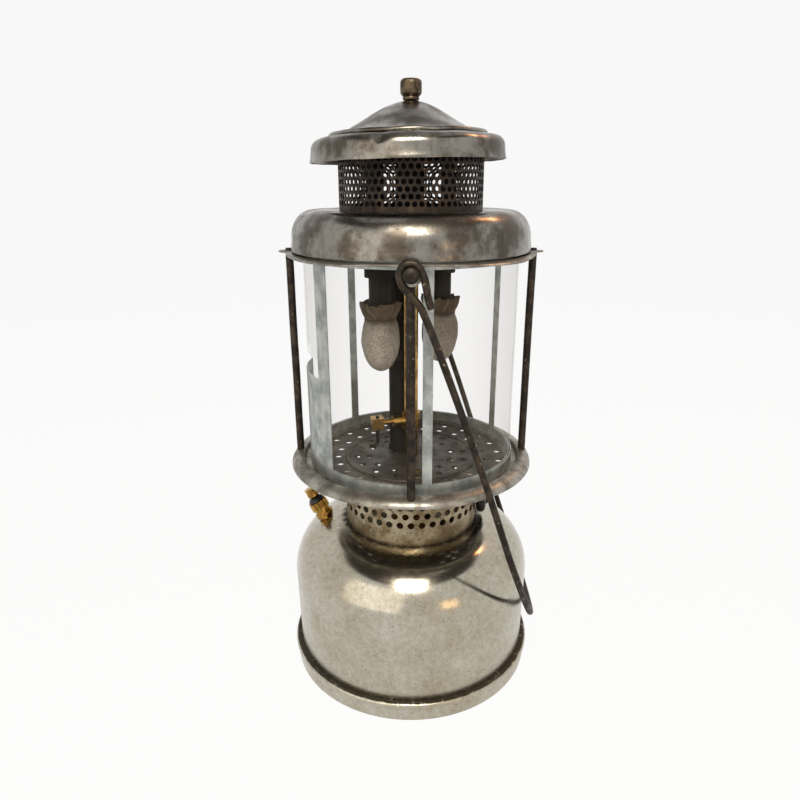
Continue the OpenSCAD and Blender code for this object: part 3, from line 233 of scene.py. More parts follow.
# Collar: nickel rubbed through to brass, with rust round the holes
wornCollar = agedMetal("nickelWornToBrass", {
    "metallic": 1.0, "bare": "#a89c84", "dull": "#7a6a4f", "patchMm": 10, "patchFrom": 0.36, "patchTo": 0.64,
    "streak": "#5d492d", "streakMm": 5, "streakTall": 0.5,
    "speck": "#3a2a18", "speckMm": 1.6, "speckFrom": 0.6, "speckAmount": 0.75,
    "rough": (0.3, 0.45), "dentMm": 6, "pit": 0.2, "bump": 0.2})
# Burner plate: grey-brown scale with ash
ashyPlate = agedMetal("ashyPlateSteel", {
    "metallic": 0.4, "bare": "#4a443c", "dull": "#292420", "patchMm": 12, "patchFrom": 0.36, "patchTo": 0.64,
    "streak": "#2c2622", "streakMm": 6,
    "speck": "#857a69", "speckMm": 1.6, "speckFrom": 0.64,
    "rough": (0.42, 0.6), "dentMm": 6, "pit": 0.1, "bump": 0.2})
# Ball nut: turned bronze gone nearly black
darkBronze = agedMetal("blackenedBronze", {
    "metallic": 0.85, "bare": "#6a5c48", "dull": "#382f25", "patchMm": 4, "patchFrom": 0.35, "patchTo": 0.62,
    "streak": "#241e18", "streakMm": 2, "streakTall": 0.6, "streakAmount": 0.6,
    "speck": "#8d7d63", "speckMm": 1.1, "speckFrom": 0.65,
    "rough": (0.36, 0.52), "dentMm": 2, "pit": 0.2, "bump": 0.35})
# Moulded wheel and rubber gasket: black, hardly shiny
blackMoulding = agedMetal("blackMoulding", {
    "metallic": 0.0, "bare": "#262320", "dull": "#171513", "patchMm": 6,
    "streak": "#35302b", "streakMm": 3, "streakAmount": 0.4,
    "speck": "#4a443c", "speckMm": 1.0, "speckFrom": 0.67, "speckAmount": 0.4,
    "rough": (0.4, 0.55), "dentMm": 2, "pit": 0.1, "bump": 0.15})


# Split mica: clear with a cream tint, stronger where the sheet is seen edge-on
micaLook = {"pale": "#cfc8b6", "stained": "#8f8672", "cloudMm": 30, "rough": 0.06, "ior": 1.58,
    "edge": 0.35, "faceCover": 0.012, "edgeCover": 0.3}


def sheetMica(look):
    material, tree, shader, place = newMaterial("splitMica")
    clouds = addNode(tree, noiseKind, {"Vector": place, "Scale": 1 / (look["cloudMm"] * mm), "Detail": 4.0})
    shade = addNode(tree, mixKind, {0: clouds, 6: look["pale"], 7: look["stained"]},
        data_type="RGBA").outputs[2]
    edge = addNode(tree, "ShaderNodeLayerWeight", {"Blend": look["edge"]}).outputs["Facing"]
    cover = addNode(tree, rangeKind, {0: edge, 3: look["faceCover"], 4: look["edgeCover"]})
    fillInputs(tree, shader, {"Base Color": shade, "Roughness": look["rough"], "IOR": look["ior"],
        "Alpha": cover})
    return material


# Burnt knit: pale ash cloth, scorched brown above the tie; loops drawn 1 mm wide so that they show
knitLook = {"ash": ("#d0ccc2", "#9b948a"), "opening": "#5f584d", "scorched": ("#7a6a54", "#2f261d"),
    "cloudMm": 6, "loopMm": 1.0, "openFrom": 0.25, "openTo": 0.75, "openAmount": 0.5,
    "scorchFrom": -1.6, "scorchTo": 0.8, "scorchUneven": 1.6, "rough": 0.9, "sheen": 0.25,
    "bump": 0.6, "depthMm": 0.3}


def mantleKnit(look, tieZ):
    material, tree, shader, place = newMaterial("knittedMantleCloth")
    axes = addNode(tree, "ShaderNodeSeparateXYZ", {0: place}).outputs
    clouds = addNode(tree, noiseKind, {"Vector": place, "Scale": 1 / (look["cloudMm"] * mm), "Detail": 4.0})
    ash = addNode(tree, mixKind, {0: clouds, 6: look["ash"][0], 7: look["ash"][1]},
        data_type="RGBA").outputs[2]
    brown = addNode(tree, mixKind, {0: clouds, 6: look["scorched"][0], 7: look["scorched"][1]},
        data_type="RGBA").outputs[2]
    loops = addNode(tree, "ShaderNodeTexVoronoi", {"Scale": 1 / (look["loopMm"] * mm), "Vector": place})
    distance = loops.outputs["Distance"]
    openings = addNode(tree, rangeKind, {0: distance, 1: look["openFrom"], 2: look["openTo"],
        4: look["openAmount"]})
    knit = addNode(tree, mixKind, {0: openings, 6: ash, 7: look["opening"]}, data_type="RGBA").outputs[2]
    height = addNode(tree, mathKind, {0: clouds, 1: look["scorchUneven"] * mm, 2: axes[2]},
        operation="MULTIPLY_ADD")
    scorch = addNode(tree, rangeKind, {0: height, 1: (tieZ + look["scorchFrom"]) * mm,
        2: (tieZ + look["scorchTo"]) * mm})
    shade = addNode(tree, mixKind, {0: scorch, 6: knit, 7: brown}, data_type="RGBA").outputs[2]
    bump = addNode(tree, "ShaderNodeBump", {"Strength": look["bump"], "Distance": look["depthMm"] * mm,
        "Height": distance})
    fillInputs(tree, shader, {"Base Color": shade, "Roughness": look["rough"],
        "Sheen Weight": look["sheen"], "Normal": bump})
    return material


def makeObject(name, bm, material, sharp=35):
    mesh = bpy.data.meshes.new(name)
    bm.to_mesh(mesh)
    bm.free()
    mesh.materials.append(material)
    mesh.shade_smooth()
    mesh.set_sharp_from_angle(angle=radians(sharp))
    made = bpy.data.objects.new(name, mesh)
    scene.collection.objects.link(made)
    return made


# Outlines are (radius, height) in millimetres, bearings run from the front toward the right
def arcPoints(middle, a, b, start, end, steps):
    turns = [radians(start + (end - start) * i / steps) for i in range(steps + 1)]
    return [(middle[0] + a * cos(t), middle[1] + b * sin(t)) for t in turns]


def sheetOutline(path, thickness):
    inner = []
    for i, point in enumerate(path):
        before = Vector(path[max(i, 1)]) - Vector(path[max(i, 1) - 1])
        after = Vector(path[min(i + 1, len(path) - 1)]) - Vector(path[min(i + 1, len(path) - 1) - 1])
        before, after = before.normalized(), after.normalized()
        sides = [Vector((-v.y, v.x)) for v in (before, after)]
        mitre = (sides[0] + sides[1]).normalized()
        inner.append(tuple(Vector(point) + mitre * thickness / mitre.dot(sides[0])))
    return list(path) + inner[::-1]


def atBearing(radius, turn, height):
    return Vector((radius * sin(turn), -radius * cos(turn), height))


# Faces between neighbouring rows of points, the last row joined to the first
def joinRows(bm, rows, closed):
    for i, here in enumerate(rows):
        beside = rows[(i + 1) % len(rows)]
        for k in range(len(here) if closed else len(here) - 1):
            j = (k + 1) % len(here)
            bm.faces.new((here[k], beside[k], beside[j], here[j]))


def lathe(name, outline, material, steps=192, sharp=35, warp=None):
    bm = bmesh.new()
    rings = []
    for k in range(steps):
        turn = 2 * pi * k / steps
        shaped = [warp(turn, r, z) if warp else (r, z) for r, z in outline]
        rings.append([bm.verts.new(atBearing(r, turn, z) * mm) for r, z in shaped])
    joinRows(bm, rings, True)
    bmesh.ops.remove_doubles(bm, verts=bm.verts, dist=1e-7)
    bmesh.ops.recalc_face_normals(bm, faces=bm.faces)
    return makeObject(name, bm, material, sharp)


def unevenness(turn, radius, height, size, seed):
    point = atBearing(radius, turn, height) / size
    return noise.noise(point + Vector((seed * 7.3, seed * 3.1, seed * 5.7)))


def sweepWire(bm, points, radius, sides=16):
    points = [Vector(p) for p in points]
    rings = []
    side = None
    for i, point in enumerate(points):
        ahead = (points[min(i + 1, len(points) - 1)] - points[max(i - 1, 0)]).normalized()
        if side is None:
            side = ahead.orthogonal().normalized()
        side = (side - ahead * side.dot(ahead)).normalized()
        other = ahead.cross(side)
        thick = radius(i / (len(points) - 1)) if callable(radius) else radius
        turns = [2 * pi * k / sides for k in range(sides)]
        rings.append([bm.verts.new((point + (side * cos(t) + other * sin(t)) * thick) * mm)
            for t in turns])
    for i in range(len(rings) - 1):
        for k in range(sides):
            j = (k + 1) % sides
            bm.faces.new((rings[i][k], rings[i][j], rings[i + 1][j], rings[i + 1][k]))
    bm.faces.new(rings[0][::-1])
    bm.faces.new(rings[-1])


# Smooth curve through a few points
def smoothPath(points, steps):
    points = [Vector(p) for p in points]
    made = []
    for i in range(len(points) - 1):
        p0 = points[max(i - 1, 0)]
        p1, p2 = points[i], points[i + 1]
        p3 = points[min(i + 2, len(points) - 1)]
        for k in range(steps):
            t = k / steps
            made.append(0.5 * (2 * p1 + (p2 - p0) * t + (2 * p0 - 5 * p1 + 4 * p2 - p3) * t * t
                + (3 * p1 - p0 - 3 * p2 + p3) * t ** 3))
    return made + [points[-1]]


def place(piece, body, slot, *nodes):
    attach(piece, body)
    if nodes:
        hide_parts(*nodes)
    return piece


# Fount: nearly straight wall, full shoulder, flat deck
fountSizes = {"low": (70.2, 12.2), "wallTop": (71.2, 58.9), "shoulder": (30, 31.5), "deck": 13.05,
    "sheet": 0.8, "ripple": 0.09, "calm": (13, 20)}
wallLow, wallTop = Vector(fountSizes["low"]), Vector(fountSizes["wallTop"])
wall = [tuple(wallLow.lerp(wallTop, i / 14)) for i in range(14)]
run, rise = fountSizes["shoulder"]
shoulder = arcPoints((wallTop.x - run, wallTop.y), run, rise, 0, 90, 56)
deckZ = wallTop.y + rise
deck = [(r, deckZ) for r in (38, 30, 20, fountSizes["deck"])]


def fountRipple(turn, r, z):
    calmR, calmRun = fountSizes["calm"]
    return r + fountSizes["ripple"] * unevenness(turn, r, z, 22, 1) * min(1, (r - calmR) / calmRun), z


place(lathe("fountShell", sheetOutline(wall + shoulder + deck, fountSizes["sheet"]), fountNickel,
    warp=fountRipple), "lantern", "nickel_plate", "fount")

# Fount bottom: foot, rolled bead and dished floor
footSizes = {"rim": 72.7, "flat": 1.8, "bead": (71.9, 10), "beadR": 2.1, "dish": 9, "sheet": 0.8}
rim, dish = footSizes["rim"], footSizes["dish"]
dishTop = dish + footSizes["sheet"]
footOutside = [(rim - footSizes["flat"], 0), (rim - 0.7, 0)]
footOutside += arcPoints((rim - 0.7, 0.7), 0.7, 0.7, -60, 0, 4)
footOutside += [(rim - 0.2, 4), (rim - 0.4, 7.5)]
footOutside += arcPoints(footSizes["bead"], footSizes["beadR"], footSizes["beadR"], -62, 62, 16)
footOutside += [(70.2, 12.15), (69.4, 12.15)]
footInside = [(71.4, 7.9), (71.3, 2.6), (69.4, 6.1), (58.7, dishTop), (0, dishTop), (0, dish), (58.7, dish),
    (68.4, 5.6)]
place(lathe("fountFoot", footOutside + footInside, fountNickel), "lantern", "nickel_plate", "fount_bottom")
print("fount made")

# Base ring: seat for the globe and a rounded flange, a little wavy from use
baseSizes = {"edge": 69.8, "crest": (63, 134.15), "drop": 4.5, "seatOut": 62, "seatZ": 131.15, "seatIn": 55,
    "sheet": 1.0, "wave": 0.35, "waveRun": 8}
seatOut, seatZ = baseSizes["seatOut"], baseSizes["seatZ"]
crestR, crestZ = baseSizes["crest"]
basePath = arcPoints((crestR, crestZ - baseSizes["drop"]), baseSizes["edge"] - crestR, baseSizes["drop"],
    0, 90, 18)
basePath += [(seatOut + 0.6, crestZ - 0.3), (seatOut + 0.1, crestZ - 1.5), (seatOut, seatZ + 0.3),
    (seatOut - 0.3, seatZ), (baseSizes["seatIn"], seatZ)]


def baseWave(turn, r, z):
    share = max(0, (r - seatOut) / baseSizes["waveRun"])
    return r, z + share * baseSizes["wave"] * unevenness(turn, 60, 0, 26, 2)


place(lathe("baseRing", sheetOutline(basePath, baseSizes["sheet"]), ringSteel, warp=baseWave),
    "lantern", "aged_steel", "base_ring")

# Posts: drawn rod, riveted over at both ends
postSizes = {"circle": 65.6, "radius": 2.1, "low": 128.15, "top": 250.1, "head": 2.9, "bow": 0.25,
    "lowHeadTop": 129.5, "lowRound": 128.6, "highHeadLow": 248.95, "steps": 75}
postNames = {"post_front": 0, "post_right": 90, "post_back": 180, "post_left": 270}


def postRadius(share):
    height = postSizes["low"] + share * (postSizes["top"] - postSizes["low"])
    if height < postSizes["lowHeadTop"]:
        return postSizes["head"] - 0.5 * max(0, postSizes["lowRound"] - height)
    if height > postSizes["highHeadLow"]:
        return postSizes["head"] - 0.9 * (height - postSizes["highHeadLow"])
    return postSizes["radius"]


for node, bearing in postNames.items():
    bm = bmesh.new()
    rod = []
    for i in range(postSizes["steps"] + 1):
        height = postSizes["low"] + (postSizes["top"] - postSizes["low"]) * i / postSizes["steps"]
        sway = postSizes["bow"] * unevenness(radians(bearing), 60, height, 40, 3)
        rod.append(atBearing(postSizes["circle"] + sway, radians(bearing), height))
    sweepWire(bm, rod, postRadius, 20)
    rodName = "rod" + node.title().replace("_", "")
    place(makeObject(rodName, bm, rustyWire, 50), "lantern", "aged_steel", node)
print("cage posts made")

# Top ring: flat ring with a lobe at each post, edge bent by knocks, and two ears turned down for the bail
topSizes = {"inner": 60.5, "outer": 66.5, "top": 248.85, "sheet": 1.0, "circle": 65.6, "lobe": 5.6,
    "lobeAtEar": 69.2, "earHalf": 5.5, "earY": 69.4, "earColumns": 8, "pivotZ": 244.95, "dip": 1.5,
    "knock": 0.5}


def ringEdge(turn):
    off = (degrees(turn) + 45) % 90 - 45
    across = topSizes["circle"] * sin(radians(off))
    if abs(across) >= topSizes["lobe"]:
        return topSizes["outer"]
    reach = topSizes["circle"] * cos(radians(off)) + sqrt(topSizes["lobe"] ** 2 - across ** 2)
    lengthwise = abs(cos(turn)) > 0.7
    return max(topSizes["outer"], min(reach, topSizes["lobeAtEar"]) if lengthwise else reach)


def ringWave(turn, r, z):
    share = (r - topSizes["inner"]) / (topSizes["outer"] - topSizes["inner"])
    reach = topSizes["inner"] + share * (ringEdge(turn) - topSizes["inner"])
    dip = -topSizes["dip"] * (0.5 - 0.5 * cos(4 * turn)) * (0.6 + 0.4 * cos(turn))
    knock = topSizes["knock"] * unevenness(turn, 60, 0, 18, 4)
    return reach, z + max(0, share) ** 1.5 * (dip + knock)


topZ, lowZ = topSizes["top"], topSizes["top"] - topSizes["sheet"]
ringRadii = [topSizes["inner"], 61.5, 62.8, 64.2, 65.4, 66.2]
ringOutline = [(r, lowZ) for r in ringRadii]
ringOutline += [(topSizes["outer"], lowZ + 0.25), (topSizes["outer"], topZ - 0.25)]
ringOutline += [(r, topZ) for r in ringRadii[::-1]]
topRing = lathe("topRing", ringOutline, ringSteel, steps=360, warp=ringWave)

bm = bmesh.new()
earY, columns = topSizes["earY"], topSizes["earColumns"]
earMid = [(63, topZ - 0.5), (66, topZ - 0.5), (68, topZ - 0.55), (69, topZ - 1.0), (earY, topZ - 2)]
earMid += [(earY, topSizes["pivotZ"] - d) for d in (0, 1.5, 3, 4.2, 5, 5.45)]
for side in (-1, 1):
    rows = []
    for i, (y, z) in enumerate(earMid):
        before = Vector(earMid[max(i - 1, 0)])
        after = Vector(earMid[min(i + 1, len(earMid) - 1)])
        way = (after - before).normalized()
        across = Vector((way.y, -way.x)) * topSizes["sheet"] / 2
        below = max(0, topSizes["pivotZ"] - z)
        half = sqrt(topSizes["earHalf"] ** 2 - below ** 2)
        row = []
        for k in range(columns + 1):
            x = half * (2 * k / columns - 1)
            row.append([bm.verts.new(Vector((x, side * (y + s * across.x), z + s * across.y)) * mm)
                for s in (-1, 1)])
        rows.append(row)
    for i in range(len(rows) - 1):
        for k in range(columns):
            for s in (0, 1):
                quad = [rows[i][k][s], rows[i][k + 1][s], rows[i + 1][k + 1][s], rows[i + 1][k][s]]
                bm.faces.new(quad if s else quad[::-1])
        for k in (0, columns):
            bm.faces.new((rows[i][k][0], rows[i + 1][k][0], rows[i + 1][k][1], rows[i][k][1]))
    for i in (0, len(rows) - 1):
        for k in range(columns):
            bm.faces.new((rows[i][k][0], rows[i][k][1], rows[i][k + 1][1], rows[i][k + 1][0]))
bmesh.ops.recalc_face_normals(bm, faces=bm.faces)
ears = makeObject("bailEars", bm, ringSteel, 40)
place(topRing, "lantern", "aged_steel", "top_ring")
place(ears, "lantern", "aged_steel")

# Bail: one wire, its ends looped round the rivets and laid back along the legs
bailSizes = {"pivotZ": 244.95, "y": 71.95, "reach": 221, "tilt": 19.357, "radius": 1.75, "loop": 5.0,
    "bowSteps": 24}
tilt = radians(bailSizes["tilt"])
down = Vector((sin(tilt), 0, -cos(tilt)))
out = Vector((cos(tilt), 0, sin(tilt)))


def onBail(along, across, off):
    return Vector((0, across, bailSizes["pivotZ"])) + down * along + out * off


loop = bailSizes["loop"]
eye = [(17, 3.7), (12, 3.8), (7, 4.6), (2.5, loop), (-2.6, loop * 0.82), (-4.9, 1.2), (-4.6, -2.2),
    (-1.6, -4.7), (3, -loop), (8, -3.2), (14, -0.9), (20, -0.2)]
legEnd = bailSizes["reach"] - bailSizes["y"]
legOff = [(30, 0.3), (60, 0.9), (95, 1.1), (125, 0.6)]
half = [onBail(s, bailSizes["y"], o) for s, o in eye + legOff]
bow = []
for i in range(bailSizes["bowSteps"] + 1):
    t = pi * i / bailSizes["bowSteps"]
    bow.append(onBail(legEnd + bailSizes["y"] * sin(t), bailSizes["y"] * cos(t), 0))
other = [Vector((p.x, -p.y, p.z)) for p in half]
bm = bmesh.new()
sweepWire(bm, smoothPath(half + bow + other[::-1], 6), bailSizes["radius"], 14)
bail = makeObject("bailWire", bm, rustyWire, 50)
place(bail, "bail", "aged_steel", "bail")

# Rivets: domed heads outside, a flat collar behind the ear
rivetSizes = {"radius": 1.5, "collar": 2.5, "collarY": (67.95, 68.8), "head": 3.7, "headY": 74.0,
    "dome": 1.85, "sides": 32}
collarLow, collarHigh = rivetSizes["collarY"]
headY, sides = rivetSizes["headY"], rivetSizes["sides"]
bm = bmesh.new()
for side in (-1, 1):
    profile = [(0, collarLow), (rivetSizes["collar"], collarLow), (rivetSizes["collar"], collarHigh),
        (rivetSizes["radius"], collarHigh + 0.05), (rivetSizes["radius"], headY),
        (rivetSizes["head"] - 0.2, headY)]
    profile += arcPoints((0, headY), rivetSizes["head"], rivetSizes["dome"], 8, 90, 9)
    rings = []
    for k in range(sides):
        t = 2 * pi * k / sides
        around = [(r * cos(t), side * y, topSizes["pivotZ"] + r * sin(t)) for r, y in profile]
        rings.append([bm.verts.new(Vector(point) * mm) for point in around])
    joinRows(bm, rings, False)
bmesh.ops.remove_doubles(bm, verts=bm.verts, dist=1e-7)
bmesh.ops.recalc_face_normals(bm, faces=bm.faces)
place(makeObject("bailRivets", bm, rustyWire, 40), "lantern", "aged_steel", "bail_rivets")
print("bail made")

# Ventilator shell: dulled drum with a rolled rim
shellSizes = {"rim": 63.4, "rimZ": 249.7, "cornerZ": 256.15, "corner": (11.0, 13.7), "inner": 52, "hole": 33,
    "sheet": 0.7, "ripple": 0.16, "rippleRun": 8}
shellPath = [(shellSizes["rim"], shellSizes["rimZ"]), (63.5, 252.2), (63.35, 252.9), (63.1, 254.4)]
shellPath += arcPoints((shellSizes["inner"], shellSizes["cornerZ"]), *shellSizes["corner"], 0, 90, 30)
shellTop = shellSizes["cornerZ"] + shellSizes["corner"][1]
shellPath += [(r, shellTop) for r in (48, 44, 40, 36.5, shellSizes["hole"])]


def shellRipple(turn, r, z):
    share = min(1, max(0, (r - shellSizes["hole"]) / shellSizes["rippleRun"]))
    return r + share * shellSizes["ripple"] * unevenness(turn, r, z, 20, 5), z


place(lathe("ventShell", sheetOutline(shellPath, shellSizes["sheet"]), smokyNickel, warp=shellRipple),
    "ventilator", "dull_nickel", "vent_shell")

# Ventilator cap: rim drum, raised bead and bell, sitting askew, with a crease knocked into its front edge
capSizes = {"rim": 50.2, "rimZ": 293.4, "sideTop": 299.5, "deckR": 43, "deckZ": 304.9, "bead": 1.2,
    "bellR": 37.9, "bellTop": 321.9, "sweep": 155, "hole": 2.8, "sheet": 0.7, "aside": 1.6, "lean": 0.022,
    "sideRun": 6.3, "bellSteps": 36, "calm": (6, 14), "ripple": 0.22, "wave": 0.25,
    "dent": 1.1, "dentDrop": 0.8}
creaseSizes = {"turn": 17, "width": 0.06, "z": 302.5, "tall": 2.5, "fromR": 42}
capPath = [(capSizes["rim"], capSizes["rimZ"]), (50.25, 293.9), (49.9, 295), (49.6, 297)]
capPath += arcPoints((capSizes["deckR"], capSizes["sideTop"]), capSizes["sideRun"],
    capSizes["deckZ"] - capSizes["sideTop"], 0, 90, 20)
bead = capSizes["bead"]
capPath += [(capSizes["bellR"] + 2 * bead + 1, capSizes["deckZ"])]
capPath += arcPoints((capSizes["bellR"] + bead, capSizes["deckZ"] + bead), bead, bead, -60, 100, 10)
bellFoot = capSizes["deckZ"] + bead
sweep = radians(capSizes["sweep"])
for i in range(1, capSizes["bellSteps"] - 3):
    share = 1 - i / capSizes["bellSteps"]
    fall = (1 - cos(sweep * share)) / (1 - cos(sweep))
    capPath.append((capSizes["bellR"] * share, capSizes["bellTop"] - (capSizes["bellTop"] - bellFoot) * fall))
capPath += [(3.4, capSizes["bellTop"]), (capSizes["hole"], capSizes["bellTop"])]


def capCrease(turn, r, z):
    if r <= creaseSizes["fromR"]:
        return 0
    off = (turn + radians(creaseSizes["turn"]) + pi) % (2 * pi) - pi
    rise = z - creaseSizes["z"]
    return exp(-(off / creaseSizes["width"]) ** 2) * exp(-(rise / creaseSizes["tall"]) ** 2)


def capKnocks(turn, r, z):
    calmR, calmRun = capSizes["calm"]
    share = min(1, max(0, (r - calmR) / calmRun))
    ripple = capSizes["ripple"] * unevenness(turn, r, z, 16, 6)
    crease = capCrease(turn, r, z)
    askew = share * sin(turn)
    lift = capSizes["wave"] * share * unevenness(turn, r, z, 12, 7)
    lift += capSizes["lean"] * r * askew - capSizes["dentDrop"] * crease
    return r + share * ripple - capSizes["dent"] * crease - capSizes["aside"] * askew, z + lift


place(lathe("ventCap", sheetOutline(capPath, capSizes["sheet"]), smokyNickel, warp=capKnocks),
    "ventilator", "dull_nickel", "vent_cap")

# Ball nut: turned blank with a neck, worn round
nutSizes = {"low": 322.2, "height": 9.6, "radius": 5.4, "neck": 4.0, "bore": 2.56, "boreTop": 328.8,
    "wear": 0.16, "wearFrom": 2.6}
nutTop = nutSizes["low"] + nutSizes["height"]
nutOutline = [(nutSizes["bore"], nutSizes["low"]), (nutSizes["neck"], nutSizes["low"]),
    (nutSizes["neck"] + 0.2, nutSizes["low"] + 0.6), (nutSizes["neck"], nutSizes["low"] + 1.3)]
nutOutline += arcPoints((nutSizes["radius"] - 1.2, nutSizes["low"] + 3.4), 1.2, 1.4, -70, 0, 6)
nutOutline += [(nutSizes["radius"], nutSizes["low"] + 6)]
nutOutline += arcPoints((nutSizes["radius"] - 1.8, nutTop - 1.8), 1.8, 1.8, 5, 84, 8)
nutOutline += [(2, nutTop), (0, nutTop), (0, nutSizes["boreTop"]), (nutSizes["bore"], nutSizes["boreTop"])]


def nutKnocks(turn, r, z):
    share = min(1, max(0, r - nutSizes["wearFrom"]))
    return r + nutSizes["wear"] * unevenness(turn, r, z, 3, 8) * share, z


place(lathe("ballNut", nutOutline, darkBronze, steps=96, sharp=50, warp=nutKnocks),
    "ball_nut", "bronze_nut", "ball_nut")
print("ventilator drums made")


# One cell of perforated sheet: a rectangle round a hole, sixteen points each
def holeCell(width, height, hole):
    bm = bmesh.new()
    edge = [(-0.5 + i / 4, -0.5) for i in range(4)] + [(0.5, -0.5 + i / 4) for i in range(4)]
    edge += [(0.5 - i / 4, 0.5) for i in range(4)] + [(-0.5, 0.5 - i / 4) for i in range(4)]
    outer = [bm.verts.new((x * width, y * height, 0)) for x, y in edge]
    inner = [bm.verts.new((hole / 2 * cos(t), hole / 2 * sin(t), 0))
        for t in [radians(-135 + 22.5 * i) for i in range(16)]]
    for i in range(16):
        j = (i + 1) % 16
        bm.faces.new((outer[i], outer[j], inner[j], inner[i]))
    mesh = bpy.data.meshes.new("holeCell")
    bm.to_mesh(mesh)
    bm.free()
    made = bpy.data.objects.new("holeCell", mesh)
    scene.collection.objects.link(made)
    return made


# Rows of cells, every other row moved by half a cell, with plain bands below and above, bent into a drum
def perforatedDrumTree():
    tree = bpy.data.node_groups.new("perforatedDrum", "GeometryNodeTree")
    tree.interface.new_socket("Geometry", in_out="OUTPUT", socket_type="NodeSocketGeometry")
    for label, kind in (("Cell", "Object"), ("Radius", "Float"), ("Holes Round", "Int"), ("Rows", "Int"),
            ("Row Pitch", "Float"), ("First Row", "Float"), ("Low Edge", "Float"), ("High Edge", "Float"),
            ("Finish", "Material")):
        tree.interface.new_socket(label, in_out="INPUT", socket_type="NodeSocket" + kind)
    given = addNode(tree, "NodeGroupInput").outputs
    length = addNode(tree, mathKind, {0: given["Radius"], 1: 2 * pi}, operation="MULTIPLY")
    width = addNode(tree, mathKind, {0: length, 1: given["Holes Round"]}, operation="DIVIDE")
    spread = addNode(tree, mathKind, {0: length, 1: width}, operation="SUBTRACT")
    gaps = addNode(tree, mathKind, {0: given["Rows"], 1: 1.0}, operation="SUBTRACT")
    tall = addNode(tree, mathKind, {0: gaps, 1: given["Row Pitch"]}, operation="MULTIPLY")
    points = addNode(tree, "GeometryNodeMeshGrid", {"Size X": spread, "Size Y": tall,
        "Vertices X": given["Holes Round"], "Vertices Y": given["Rows"]})
    position = addNode(tree, "GeometryNodeInputPosition").outputs[0]
    spot = addNode(tree, "ShaderNodeSeparateXYZ", {0: position}).outputs
    fromFirst = addNode(tree, mathKind, {0: tall, 1: 0.5, 2: spot[1]}, operation="MULTIPLY_ADD")
    rowShare = addNode(tree, mathKind, {0: fromFirst, 1: given["Row Pitch"]}, operation="DIVIDE")
    row = addNode(tree, mathKind, {0: rowShare}, operation="ROUND")
    odd = addNode(tree, mathKind, {0: row, 1: 2.0}, operation="MODULO")
    halfCell = addNode(tree, mathKind, {0: width, 1: 0.5}, operation="MULTIPLY")
    aside = addNode(tree, mathKind, {0: odd, 1: halfCell}, operation="MULTIPLY")
    middle = addNode(tree, mathKind, {0: tall, 1: 0.5, 2: given["First Row"]}, operation="MULTIPLY_ADD")
    move = addNode(tree, "ShaderNodeCombineXYZ", {0: aside, 1: middle})
    staggered = addNode(tree, "GeometryNodeSetPosition", {"Geometry": points, "Offset": move})
    cell = addNode(tree, "GeometryNodeObjectInfo", {"Object": given["Cell"]})
    cells = addNode(tree, "GeometryNodeInstanceOnPoints", {"Points": staggered,
        "Instance": cell.outputs["Geometry"]})
    flat = [addNode(tree, "GeometryNodeRealizeInstances", {0: cells}).outputs[0]]
    steps = addNode(tree, mathKind, {0: given["Holes Round"], 1: 4.0, 2: 1.0}, operation="MULTIPLY_ADD")
    halfPitch = addNode(tree, mathKind, {0: given["Row Pitch"], 1: 0.5}, operation="MULTIPLY")
    lowRow = addNode(tree, mathKind, {0: given["First Row"], 1: halfPitch}, operation="SUBTRACT")
    lastRow = addNode(tree, mathKind, {0: given["First Row"], 1: tall}, operation="ADD")
    highRow = addNode(tree, mathKind, {0: lastRow, 1: halfPitch}, operation="ADD")
    for start, end in ((given["Low Edge"], lowRow), (highRow, given["High Edge"])):
        band = addNode(tree, mathKind, {0: end, 1: start}, operation="SUBTRACT")
        total = addNode(tree, mathKind, {0: end, 1: start}, operation="ADD")
        centre = addNode(tree, mathKind, {0: total, 1: 0.5}, operation="MULTIPLY")
        grid = addNode(tree, "GeometryNodeMeshGrid", {"Vertices Y": 2, "Size X": length, "Size Y": band,
            "Vertices X": steps})
        lift = addNode(tree, "ShaderNodeCombineXYZ", {1: centre})
        flat.append(addNode(tree, "GeometryNodeSetPosition", {"Geometry": grid, "Offset": lift}).outputs[0])
    joined = addNode(tree, "GeometryNodeJoinGeometry")
    for part in flat:
        tree.links.new(part, joined.inputs[0])
    turn = addNode(tree, mathKind, {0: spot[0], 1: given["Radius"]}, operation="DIVIDE")
    sine = addNode(tree, mathKind, {0: turn}, operation="SINE")
    cosine = addNode(tree, mathKind, {0: turn}, operation="COSINE")
    across = addNode(tree, mathKind, {0: sine, 1: given["Radius"]}, operation="MULTIPLY")
    toward = addNode(tree, mathKind, {0: cosine, 1: given["Radius"]}, operation="MULTIPLY")
    front = addNode(tree, mathKind, {0: toward, 1: -1.0}, operation="MULTIPLY")
    bent = addNode(tree, "ShaderNodeCombineXYZ", {0: across, 1: front, 2: spot[1]})
    drum = addNode(tree, "GeometryNodeSetPosition", {"Geometry": joined, "Position": bent})
    welded = addNode(tree, "GeometryNodeMergeByDistance", {"Distance": 0.02 * mm, "Geometry": drum})
    real = addNode(tree, "GeometryNodeRealizeInstances", {0: welded})
    finished = addNode(tree, "GeometryNodeSetMaterial", {"Geometry": real, "Material": given["Finish"]})
    addNode(tree, "NodeGroupOutput", {0: finished})
    return tree


def setInputs(modifier, values):
    for item in modifier.node_group.interface.items_tree:
        if item.in_out == "INPUT" and item.name in values:
            modifier[item.identifier] = values[item.name]


